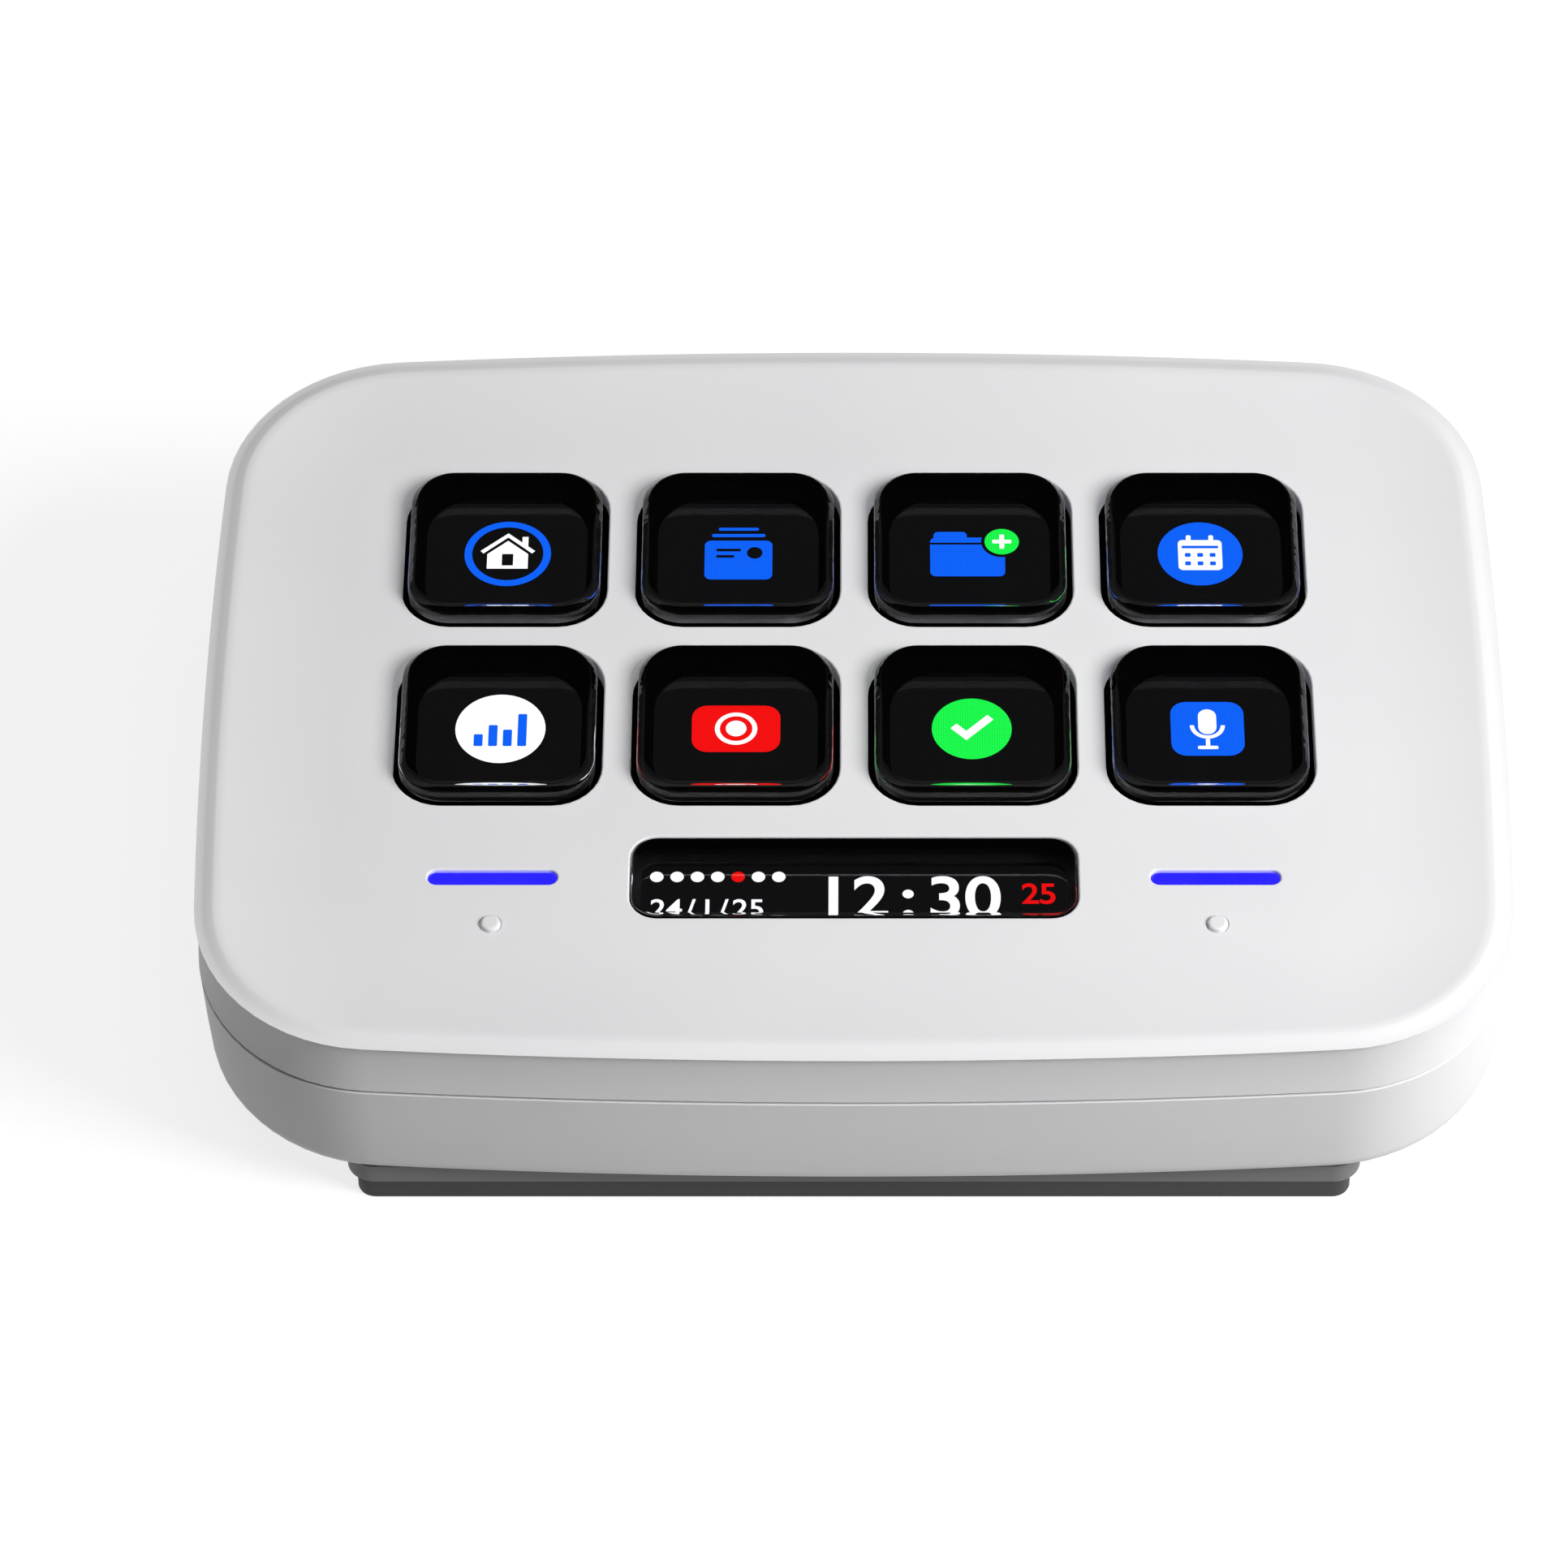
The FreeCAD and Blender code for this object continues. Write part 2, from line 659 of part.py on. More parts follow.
def make_bottom_shell():
    body = new_body("bottom_shell")
    top = new_sketch(body, offset=L.shell_top)
    draw_outline(top)
    foot = new_sketch(body, offset=L.body_foot)
    draw_outline(foot, S.shell_taper)
    loft_between(body, "Additive", top, foot)
    round_foot(body)
    hollow = new_sketch(body, offset=L.shell_top)
    draw_outline(hollow, S.shell_wall)
    cut_by(body, hollow, L.shell_top - L.floor)
    tongue = new_sketch(body, offset=L.shell_top)
    draw_outline(tongue, S.cover_wall + S.tongue_gap)
    draw_outline(tongue, S.shell_wall)
    raise_by(body, tongue, S.tongue_rise)
    notch = new_sketch(body, offset=L.shell_top + S.tongue_rise)
    for side in (-1, 1):
        for row in (-1, 1):
            place_x = (D.half_width - S.shell_wall) * side
            draw_polygon(notch, box_points(place_x, D.boss_row * row, S.shell_wall * 2,
                                           S.rib_thick + 2 * S.frame_gap))
    cut_by(body, notch, S.tongue_rise)
    posts = new_sketch(body, offset=L.floor)
    for x, y in corners(D.boss_column, D.boss_row, D.boss_row):
        draw_polygon(posts, ring_points(S.boss_radius, x, y))
    raise_by(body, posts, L.boss_meet - L.floor)
    standoffs = new_sketch(body, offset=L.floor)
    for x, y in foot_screw_places + board_rest_places:
        draw_polygon(standoffs, box_points(x, y, S.standoff_size, S.standoff_size))
    raise_by(body, standoffs, L.board_foot - L.floor)
    drill_bottom_shell(body)
    port = new_sketch(body, "XZ_Plane", offset=-(D.half_depth - S.shell_wall * 1.5))
    draw_slot(port, S.socket_width + 2 * S.socket_gap, S.socket_height + 2 * S.socket_gap, 0, D.socket_row)
    cut_by(body, port, S.shell_wall * 2)
    body.Placement = on_panel()
    return body


def round_foot(body):
    """Round the shell's lower edge by one flat that stays inside the shell's own radius."""
    bevel(body, S.shell_round * (2 - math.sqrt(2)), at_level(L.body_foot))


def drill_bottom_shell(body):
    """Case screws pass right up through their posts; foot screws bite in blind bores."""
    bores = new_sketch(body, offset=L.body_foot)
    for x, y in corners(D.boss_column, D.boss_row, D.boss_row):
        draw_polygon(bores, ring_points(S.big_shank + S.bore_gap, x, y))
    cut_by(body, bores, L.boss_meet - L.body_foot, up=True)
    sinks = new_sketch(body, offset=L.body_foot)
    for x, y in corners(D.boss_column, D.boss_row, D.boss_row):
        draw_polygon(sinks, ring_points(S.big_head + S.sink_gap, x, y))
    cut_by(body, sinks, S.case_sink, up=True)
    blind = new_sketch(body, offset=L.body_foot)
    for x, y in foot_screw_places:
        draw_polygon(blind, ring_points(S.small_shank + S.bore_gap, x, y))
    cut_by(body, blind, L.board_foot - L.body_foot - S.tray_thick, up=True)


# Frame that guides the keys and holds the display

def make_key_frame():
    body = new_body("key_frame")
    plate = new_sketch(body, offset=L.frame_foot)
    depth = D.frame_front + D.frame_back
    draw_box(plate, D.frame_width, depth, S.frame_round, 0, (D.frame_back - D.frame_front) / 2)
    raise_by(body, plate, L.plate_under - L.frame_foot)
    well = new_sketch(body, offset=L.plate_under)
    draw_polygon(well, cut_box(D.well_size, S.well_corner, D.first_column, D.front_row))
    well_cut = cut_by(body, well, L.plate_under - L.ledge)
    hole = new_sketch(body, offset=L.ledge)
    draw_polygon(hole, box_points(D.first_column, D.front_row, D.aperture_size, D.aperture_size))
    hole_cut = cut_by(body, hole, S.ledge_thick)
    repeat_keys(body, [well_cut, hole_cut])
    seats = new_sketch(body, offset=L.plate_under)
    lap = S.window_lap + S.frame_gap
    draw_box(seats, S.window_width + 2 * lap, S.window_depth + 2 * lap, S.window_round + lap, 0, D.window_row)
    for side in (-1, 1):
        draw_polygon(seats, box_points(S.bar_column * side, D.window_row,
                                       D.bar_flange_length + 2 * S.frame_gap,
                                       D.bar_flange_width + 2 * S.frame_gap))
    cut_by(body, seats, L.plate_under - L.ledge)
    views = new_sketch(body, offset=L.ledge)
    draw_box(views, S.window_width - 2 * S.window_lap, S.window_depth - 2 * S.window_lap,
             S.window_round - S.window_lap, 0, D.window_row)
    for side in (-1, 1):
        draw_polygon(views, box_points(S.bar_column * side, D.window_row, S.bar_length, S.bar_width))
    cut_by(body, views, S.ledge_thick)
    patches = new_sketch(body, offset=L.plate_under)
    for side in (-1, 1):
        draw_polygon(patches, box_points(S.bar_column * side, D.dot_row, S.patch_width + 2 * S.frame_gap,
                                         S.patch_depth + 2 * S.frame_gap))
    cut_by(body, patches, S.patch_thick + S.frame_gap)
    posts = new_sketch(body, offset=L.frame_foot)
    for x, y in corners(S.post_column, D.post_front, D.post_back):
        draw_polygon(posts, box_points(x, y, S.post_size, S.post_size))
    raise_by(body, posts, L.frame_foot - L.board_top, down=True)
    body.Placement = on_panel()
    return body


# Keys and the silicone rings under them

def make_key_cap(label, column, row):
    """A thick clear cap: a drafted crown, four tabs under the cover and a core above the display."""
    body = new_body(label)
    shoulder = L.panel + S.cap_rise - S.cap_shoulder
    top = L.panel + S.cap_rise
    block = new_sketch(body, offset=L.cap_foot)
    draw_polygon(block, bent_box_points(D.cap_size, D.cap_round))
    raise_by(body, block, shoulder - L.cap_foot)
    tabs = new_sketch(body, offset=L.cap_foot)
    draw_polygon(tabs, cross_points(D.tab_span, S.tab_width))
    raise_by(body, tabs, S.tab_thick)
    crown_foot = new_sketch(body, offset=shoulder)
    draw_polygon(crown_foot, bent_box_points(D.cap_size, D.cap_round))
    crown_top = new_sketch(body, offset=top)
    draw_polygon(crown_top, bent_box_points(D.cap_size - 2 * S.cap_draft, D.cap_round - S.cap_draft))
    loft_between(body, "Additive", crown_foot, crown_top)
    core = new_sketch(body, offset=L.cap_foot)
    draw_polygon(core, bent_box_points(D.aperture_size - 2 * S.core_gap, S.core_round))
    raise_by(body, core, S.core_drop, down=True)
    body.Placement = on_panel(column, row)
    return body


def cross_points(span, width):
    """A cross with four equal arms, as twelve points."""
    far = span / 2
    near = width / 2
    return ((far, -near), (far, near), (near, near), (near, far), (-near, far), (-near, near),
            (-far, near), (-far, -near), (-near, -near), (-near, -far), (near, -far), (near, -near))


def make_key_dome(label, column, row):
    """A silicone ring with leaning walls, standing on the frame's ledge under one cap."""
    body = new_body(label)
    foot = new_sketch(body, offset=L.ledge)
    draw_polygon(foot, cut_box(D.dome_size, S.dome_corner))
    head = new_sketch(body, offset=L.cap_foot)
    draw_polygon(head, cut_box(D.dome_size - S.dome_wall / 2, S.dome_corner))
    loft_between(body, "Additive", foot, head)
    bore = new_sketch(body, offset=L.cap_foot)
    draw_polygon(bore, cut_box(D.dome_size - 2 * S.dome_wall, S.dome_corner))
    cut_by(body, bore, L.cap_foot - L.ledge)
    body.Placement = on_panel(column, row)
    return body


# Info window, light bars and touch patches

def make_info_window():
    body = new_body("info_window")
    flange = new_sketch(body, offset=L.ledge)
    draw_box(flange, S.window_width + 2 * S.window_lap, S.window_depth + 2 * S.window_lap,
             S.window_round + S.window_lap, 0, D.window_row)
    raise_by(body, flange, S.window_flange)
    block = new_sketch(body, offset=L.ledge + S.window_flange)
    draw_box(block, S.window_width - 2 * S.window_gap, S.window_depth - 2 * S.window_gap,
             S.window_round - S.window_gap, 0, D.window_row)
    raise_by(body, block, L.panel + S.window_proud - L.ledge - S.window_flange)
    body.Placement = on_panel()
    return body


def make_light_bar(label, side):
    body = new_body(label)
    column = S.bar_column * side
    flange = new_sketch(body, offset=L.ledge)
    draw_polygon(flange, box_points(column, D.window_row, D.bar_flange_length, D.bar_flange_width))
    raise_by(body, flange, S.window_flange)
    stem = new_sketch(body, offset=L.ledge + S.window_flange)
    draw_slot(stem, S.bar_length - 2 * S.bar_gap, S.bar_width - 2 * S.bar_gap, column, D.window_row)
    raise_by(body, stem, L.panel - S.bar_sink - L.ledge - S.window_flange)
    body.Placement = on_panel()
    return body


def make_touch_pad(label, side):
    """A thin sensing patch stuck under the plate, below its raised dot."""
    body = new_body(label)
    patch = new_sketch(body, offset=L.plate_under)
    draw_polygon(patch, box_points(S.bar_column * side, D.dot_row, S.patch_width, S.patch_depth))
    raise_by(body, patch, S.patch_thick, down=True)
    body.Placement = on_panel()
    return body


# Display stack

def make_display_layer(label, foot, thickness):
    body = new_body(label)
    sketch = new_sketch(body, offset=foot)
    draw_polygon(sketch, box_points(0, D.display_row, D.display_width, D.display_depth))
    raise_by(body, sketch, thickness)
    body.Placement = on_panel()
    return body


def make_display_tray():
    body = new_body("display_tray")
    room_x = D.display_width + 2 * S.display_gap
    room_y = D.display_depth + 2 * S.display_gap
    outer = new_sketch(body, offset=L.tray_foot)
    draw_polygon(outer, box_points(0, D.display_row, room_x + 2 * S.tray_thick, room_y + 2 * S.tray_thick))
    raise_by(body, outer, L.frame_foot - L.tray_foot)
    room = new_sketch(body, offset=L.light_foot)
    draw_polygon(room, box_points(0, D.display_row, room_x, room_y))
    cut_by(body, room, L.frame_foot - L.light_foot, up=True)
    gate = new_sketch(body, offset=L.frame_foot)
    draw_polygon(gate, box_points(Size(0), D.display_row + room_y / 2 + S.tray_thick / 2,
                                  S.flex_width + 4 * S.display_gap, 2 * S.tray_thick))
    cut_by(body, gate, S.glass_thick + S.flex_thick)
    body.Placement = on_panel()
    return body


def make_display_flex():
    """The display's ribbon: out through the tray's gate, round one bend and into its connector."""
    body = new_body("display_flex")
    start = D.display_row + D.display_depth / 2
    bend_at = start + S.flex_run
    upper = L.glass_foot + S.glass_thick / 2
    lower = L.board_top + S.connector_height / 2
    outer = (upper - lower + S.flex_thick) / 2
    inner = outer - S.flex_thick
    middle = (upper + lower) / 2
    back = start - S.display_gap
    half = math.pi / 2
    sketch = new_sketch(body, "YZ_Plane", offset=-S.flex_width / 2)
    centre = (bend_at.number, middle.number)
    big = sketch.addGeometry(arc(centre, outer.number, -half, half), False)
    small = sketch.addGeometry(arc(centre, inner.number, -half, half), False)
    run_ends = ((start, middle + outer), (start, middle + inner),
                (back, middle - inner), (back, middle - outer))
    lines = []
    for (x, y), (arc_id, arc_end) in zip(run_ends, ((big, 2), (small, 2), (small, 1), (big, 1))):
        far = FreeCAD.Vector(x.number, y.number, 0)
        line = sketch.addGeometry(Part.LineSegment(sketch.getPoint(arc_id, arc_end), far), False)
        sketch.addConstraint(Constraint("Coincident", line, 1, arc_id, arc_end))
        place(sketch, line, 2, x, y)
        lines.append(line)
    for one, two in ((0, 1), (2, 3)):
        first = sketch.getPoint(lines[one], 2)
        second = sketch.getPoint(lines[two], 2)
        cap = sketch.addGeometry(Part.LineSegment(first, second), False)
        sketch.addConstraint(Constraint("Coincident", cap, 1, lines[one], 2))
        sketch.addConstraint(Constraint("Coincident", cap, 2, lines[two], 2))
    bind(sketch, Constraint("Radius", big, outer.number), outer)
    bind(sketch, Constraint("Radius", small, inner.number), inner)
    place(sketch, big, 3, bend_at, middle)
    place(sketch, small, 3, bend_at, middle)
    raise_by(body, sketch, S.flex_width)
    body.Placement = on_panel()
    return body


# Main board with its parts

def make_main_board():
    body = new_body("main_board")
    depth = D.frame_front + D.board_back
    outline = new_sketch(body, offset=L.board_foot)
    draw_box(outline, D.frame_width, depth, S.board_round, 0, (D.board_back - D.frame_front) / 2)
    raise_by(body, outline, S.board_thick)
    body.Placement = on_panel()
    return body


# Chip places and sizes on the board: across, along, width, depth
CHIPS = (
    (-14.0, 6.0, 10.0, 10.0),
    (3.0, 8.0, 8.0, 6.0),
    (3.0, -4.0, 5.0, 6.0),
    (18.0, 2.0, 4.0, 4.0),
    (-14.0, -8.0, 3.2, 2.5),
    (24.0, 14.0, 6.0, 5.0),
    (-26.0, 12.0, 3.0, 3.0),
)


def make_board_chips():
    """The processor, memory, power parts and the ribbon's connector, soldered to the board."""
    body = new_body("board_chips", several=True)
    connector_back = D.display_row + D.display_depth / 2 - S.display_gap
    low = new_sketch(body, offset=L.board_top)
    for x, y, width, depth in CHIPS:
        draw_polygon(low, box_points(Size(x), Size(y), Size(width), Size(depth)))
    draw_polygon(low, box_points(Size(0), connector_back - S.connector_depth / 2,
                                 S.flex_width + 2 * S.board_thick, S.connector_depth))
    raise_by(body, low, S.connector_height)
    body.Placement = on_panel()
    return body


def make_usb_c_socket():
    body = new_body("usb_c_socket")
    back = new_sketch(body, "XZ_Plane", offset=-D.socket_face)
    draw_slot(back, S.socket_width, S.socket_height, 0, D.socket_row)
    raise_by(body, back, S.socket_depth)
    mouth = new_sketch(body, "XZ_Plane", offset=-D.socket_face)
    draw_slot(mouth, S.socket_width - 2 * S.socket_wall, S.socket_height - 2 * S.socket_wall, 0, D.socket_row)
    cut_by(body, mouth, S.socket_depth - 4 * S.socket_wall, up=True)
    plate = new_sketch(body, "XZ_Plane", offset=-(D.socket_face - S.socket_depth + 2 * S.socket_wall))
    draw_polygon(plate, box_points(Size(0), D.socket_row, S.tongue_width, S.tongue_plate))
    raise_by(body, plate, S.tongue_depth + 2 * S.socket_wall, down=True)
    body.Placement = on_panel()
    return body


# Ballast and foot

def make_ballast_plate():
    body = new_body("ballast_plate")
    sketch = new_sketch(body, offset=L.floor)
    front = D.board_rest_row + S.standoff_size / 2 + S.ballast_gap
    back = D.foot_screw_row - S.standoff_size / 2 - S.ballast_gap
    width = 2 * (D.standoff_column - S.standoff_size / 2 - S.ballast_gap)
    draw_polygon(sketch, box_points(0, (front + back) / 2, width, back - front))
    raise_by(body, sketch, S.ballast_thick)
    body.Placement = on_panel()
    return body


def panel_point(y, z):
    """A point of the foot, given in the standing frame, in the panel's frame."""
    ahead = y - panel_y
    above = z - panel_z
    return (ahead * cosine(S.tilt) + above * sine(S.tilt), above * cosine(S.tilt) - ahead * sine(S.tilt))


def under_body(y):
    """The point of the housing's flat underside over a place of the standing frame."""
    along = (y - panel_y + L.body_foot * sine(S.tilt)) / cosine(S.tilt)
    return (along, L.body_foot)


def make_stand_plinth():
    """A wedge that fills the space between the tilted housing and the level pad."""
    body = new_body("stand_plinth")
    width = D.pad_width + 2 * S.plinth_step
    side = new_sketch(body, "YZ_Plane", offset=-width / 2)
    draw_polygon(side, (panel_point(-D.pad_reach, S.pad_thick), panel_point(D.pad_reach, S.pad_thick),
                        under_body(D.pad_reach), under_body(-D.pad_reach)))
    raise_by(body, side, width)
    soften(body, S.pad_round + S.plinth_step, is_upright)
    bores = new_sketch(body, offset=L.body_foot)
    for x, y in foot_screw_places:
        draw_polygon(bores, ring_points(S.small_shank + S.bore_gap, x, y))
    below = -L.body_foot
    cut_by(body, bores, below)
    sinks = new_sketch(body, offset=L.body_foot - S.plinth_seat)
    for x, y in foot_screw_places:
        draw_polygon(sinks, ring_points(S.small_head + S.sink_gap, x, y))
    cut_by(body, sinks, below)
    body.Placement = on_panel()
    return body


def is_upright(edge):
    """Edges that stand upright once the housing is tilted."""
    box = edge.BoundBox
    return box.XLength < 1e-3 and box.YLength < box.ZLength


def make_grip_pad():
    body = new_body("grip_pad")
    sketch = new_sketch(body)
    draw_box(sketch, D.pad_width, D.pad_depth, S.pad_round)
    raise_by(body, sketch, S.pad_thick)
    bevel(body, S.pad_edge, at_level(Size(0)))
    return body


# Screws

def make_screws(label, places, seat, head, head_height, shank, length):
    """Screws driven from below, each a flat round head on a plain shank."""
    body = new_body(label, several=True)
    heads = new_sketch(body, offset=seat - head_height)
    shanks = new_sketch(body, offset=seat)
    for x, y in places:
        draw_polygon(heads, ring_points(head, x, y))
        draw_polygon(shanks, ring_points(shank, x, y))
    raise_by(body, heads, head_height)
    raise_by(body, shanks, length)
    body.Placement = on_panel()
    return body


def make_all():
    parts = [make_top_cover(), make_bottom_shell(), make_key_frame()]
    for row in range(ROWS):
        for column in range(COLUMNS):
            number = row * COLUMNS + column + 1
            x = D.first_column.number + column * D.key_pitch.number
            y = D.front_row.number + (ROWS - 1 - row) * D.key_pitch.number
            parts.append(make_key_cap(f"key_cap_{number}", x, y))
            parts.append(make_key_dome(f"key_dome_{number}", x, y))
    parts.append(make_info_window())
    parts.append(make_light_bar("light_bar_left", -1))
    parts.append(make_light_bar("light_bar_right", 1))
    parts.append(make_touch_pad("touch_pad_left", -1))
    parts.append(make_touch_pad("touch_pad_right", 1))
    parts.append(make_display_layer("display_panel", L.glass_foot, S.glass_thick))
    parts.append(make_display_layer("backlight", L.light_foot, S.backlight_thick))
    parts.append(make_display_tray())
    parts.append(make_display_flex())
    parts.append(make_main_board())
    parts.append(make_board_chips())
    parts.append(make_usb_c_socket())
    parts.append(make_ballast_plate())
    parts.append(make_stand_plinth())
    parts.append(make_grip_pad())
    parts.append(make_screws("case_screws", corners(D.boss_column, D.boss_row, D.boss_row),
                             L.body_foot + S.case_sink, S.big_head, S.big_head_height, S.big_shank,
                             L.boss_meet - L.body_foot - S.case_sink + S.case_bite))
    parts.append(make_screws("plinth_screws", foot_screw_places, L.body_foot - S.plinth_seat,
                             S.small_head, S.small_head_height, S.small_shank,
                             S.plinth_seat + S.plinth_bite))
    return parts


def check(parts):
    """Stop on any failed feature or broken shape, before anything is written."""
    for item in doc.Objects:
        if "Invalid" in item.State or "Error" in item.State:
            raise RuntimeError(f"{item.Name} failed: {item.State}")
    for part in parts:
        if part.Shape.isNull() or not part.Shape.isValid():
            raise RuntimeError(f"{part.Label} has no valid shape")


parts = make_all()
doc.recompute()
check(parts)
os.makedirs("parts", exist_ok=True)
for part in parts:
    part.Shape.exportStep(os.path.join("parts", f"{part.Label}.step"))
    box = part.Shape.BoundBox
    size = f"{box.XLength:.2f} x {box.YLength:.2f} x {box.ZLength:.2f} mm"
    print(f"{part.Label}: {len(part.Shape.Solids)} solids, {part.Shape.Volume:.1f} mm3, {size}")
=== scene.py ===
"""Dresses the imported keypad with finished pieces, materials, a stage and a camera."""
import math

import bmesh
import bpy
from mathutils import Matrix, Vector
from mathutils.geometry import tessellate_polygon

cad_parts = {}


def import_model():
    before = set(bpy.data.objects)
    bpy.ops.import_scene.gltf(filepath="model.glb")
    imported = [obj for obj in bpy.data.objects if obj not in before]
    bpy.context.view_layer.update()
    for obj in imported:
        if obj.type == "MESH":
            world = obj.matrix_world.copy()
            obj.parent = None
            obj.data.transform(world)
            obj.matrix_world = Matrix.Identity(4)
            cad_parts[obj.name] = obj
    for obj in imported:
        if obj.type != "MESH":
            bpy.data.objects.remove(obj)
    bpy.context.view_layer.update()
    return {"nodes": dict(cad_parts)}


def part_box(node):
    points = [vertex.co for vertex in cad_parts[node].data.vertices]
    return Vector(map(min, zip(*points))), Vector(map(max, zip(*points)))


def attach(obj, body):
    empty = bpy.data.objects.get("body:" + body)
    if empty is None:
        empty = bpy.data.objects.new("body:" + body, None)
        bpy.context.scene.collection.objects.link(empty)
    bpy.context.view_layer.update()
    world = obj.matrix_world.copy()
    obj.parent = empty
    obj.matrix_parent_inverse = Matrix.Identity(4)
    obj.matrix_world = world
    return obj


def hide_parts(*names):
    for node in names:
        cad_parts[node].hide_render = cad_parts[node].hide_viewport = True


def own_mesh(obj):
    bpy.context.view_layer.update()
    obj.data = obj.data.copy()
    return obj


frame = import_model()

bl_info = {
    "name": "Display keypad",
    "version": (1, 0, 0),
    "blender": (4, 5, 0),
    "location": "View3D > Sidebar > Keypad",
    "description": "Builds the visible pieces of a desk keypad with eight clear keys over a display",
    "category": "Object",
}

MM = 0.001
COLUMNS = 4
ROWS = 2

# The panel's frame: where its origin stands and how far it leans back
PANEL_Y = 4.0312
PANEL_Z = 23.7834
TILT = math.radians(4.5)

# Levels along the panel's normal in millimetres, as in the part
PANEL = -0.55
PLATE_UNDER = -2.05
COVER_FOOT = -5.75
SHELL_TOP = -6.0
CAP_FOOT = -3.05
LEDGE = -4.65
GLASS_TOP = -5.15
FLOOR = -15.2
BODY_FOOT = -17.2
FLANGE_TOP = -3.05


def world(u, v, w):
    """A point of the panel's frame, in millimetres, as a place in the standing frame in metres."""
    y = PANEL_Y + v * math.cos(TILT) - w * math.sin(TILT)
    z = PANEL_Z + v * math.sin(TILT) + w * math.cos(TILT)
    return Vector((u, y, z)) * MM


PANEL_PLACE = Matrix.Translation(world(0, 0, 0)) @ Matrix.Rotation(TILT, 4, "X") @ Matrix.Scale(MM, 4)
FROM_WORLD = PANEL_PLACE.inverted()
NORMAL = Vector((0, -math.sin(TILT), math.cos(TILT)))


# Settings that a user would change

def length(name, meaning, value):
    """A setting in millimetres."""
    return bpy.props.FloatProperty(name=name, description=f"{meaning}, in millimetres", default=value)


def power(name, meaning, value):
    """A setting in watts."""
    return bpy.props.FloatProperty(name=name, description=f"{meaning}, in watts", default=value)


def colour(name, meaning, value):
    """A setting that is an sRGB hex colour."""
    return bpy.props.StringProperty(name=name, description=meaning, default=value)


class HousingSizes(bpy.types.PropertyGroup):
    half_width: length("Half width", "Half of the housing's width", 53.47)
    half_depth: length("Half depth", "Half of the housing's depth along the panel", 38.68)
    side_bow: length("Side bow", "Radius of the long curve of each side", 590.0)
    front_bow: length("Front bow", "Radius of the long curve of front and rear", 650.0)
    corner: length("Corner", "Radius of the housing's corners", 15.0)
    rim_band: length("Rim band", "Width of the flat band round the top", 1.6)
    rim_fall: length("Rim fall", "How far the rim band falls to the outside", 0.34)
    slope: length("Slope", "Width of the soft slope down to the keys", 9.5)
    foot_round: length("Foot rounding", "Radius under the housing's lower edge", 2.0)


class KeySizes(bpy.types.PropertyGroup):
    pitch: length("Pitch", "Distance from key to key", 19.45)
    field_row: length("Field row", "Middle of the key field along the panel", 6.28)
    opening: length("Opening", "Width of each key's opening", 17.15)
    opening_round: length("Opening corner", "Corner radius of the openings", 4.1)
    cap: length("Cap", "Width of each clear cap", 16.1)
    cap_round: length("Cap corner", "Corner radius of the caps", 3.6)
    cap_top: length("Cap top", "Level of the caps' flat tops over the rim", 0.94)
    travel: length("Travel", "How far each key goes in", 1.0)


class DisplayColours(bpy.types.PropertyGroup):
    blue: colour("Blue", "Blue of the pictures", "#0F66FF")
    green: colour("Green", "Green of the pictures", "#1EFF4E")
    red: colour("Red", "Red of the pictures", "#FF1010")
    white: colour("White", "White of the pictures", "#FFFFFF")
    bar: colour("Light bars", "Blue of the light bars", "#2019FF")
    picture_shift: length("Picture shift", "How far behind its key's middle a picture looks centred", 1.75)
    glow: bpy.props.FloatProperty(name="Glow", description="Strength of the lit parts", default=1.1, min=0.0)


class StageSettings(bpy.types.PropertyGroup):
    key_light: power("Key light", "Power of the near softbox at the right", 3.55)
    top_light: power("Top light", "Power of the softbox overhead", 2.8)
    lens: length("Lens", "Focal length of the camera", 165.3)
    distance: length("Distance", "Camera's distance from the keys", 587.1)
    elevation: bpy.props.FloatProperty(
        name="Elevation", description="Camera's height over the level", subtype="ANGLE",
        default=math.radians(45.02))


# Colours and shader nodes

def linear(hex_code):
    """An sRGB hex colour as linear red, green, blue and alpha."""
    values = [int(hex_code[i:i + 2], 16) / 255 for i in (1, 3, 5)]
    return tuple(v / 12.92 if v <= 0.04045 else ((v + 0.055) / 1.055) ** 2.4 for v in values) + (1.0,)


def add(tree, kind, inputs=None, **settings):
    """Add one node; each input is a value, a socket, or a node whose first usable output is linked."""
    node = tree.nodes.new(kind)
    for name, value in settings.items():
        setattr(node, name, value)
    for name, value in (inputs or {}).items():
        if isinstance(value, bpy.types.Node):
            value = next(out for out in value.outputs if out.enabled)
        if isinstance(value, bpy.types.NodeSocket):
            tree.links.new(value, node.inputs[name])
        else:
            node.inputs[name].default_value = value
    return node


def maths(tree, operation, *values):
    return add(tree, "ShaderNodeMath", dict(enumerate(values)), operation=operation)


def new_finish(name):
    """An empty material and its node tree."""
    finish = bpy.data.materials.new(name)
    finish.use_nodes = True
    finish.node_tree.nodes.clear()
    return finish, finish.node_tree


def show(tree, shader):
    """Send a shader to the material's output."""
    add(tree, "ShaderNodeOutputMaterial", {"Surface": shader})


def principled(finish, inputs):
    """Give the finish one principled shader, and hand it back."""
    show(finish.node_tree, add(finish.node_tree, "ShaderNodeBsdfPrincipled", inputs))
    return finish


def object_place(tree):
    """The place on the piece's own coordinates."""
    return add(tree, "ShaderNodeTexCoord").outputs["Object"]


def speckle(tree, spacing_mm, detail=2.0):
    """Noise whose grains are about spacing_mm apart."""
    return add(tree, "ShaderNodeTexNoise", {"Vector": object_place(tree), "Scale": 1 / (spacing_mm * MM),
                                            "Detail": detail})


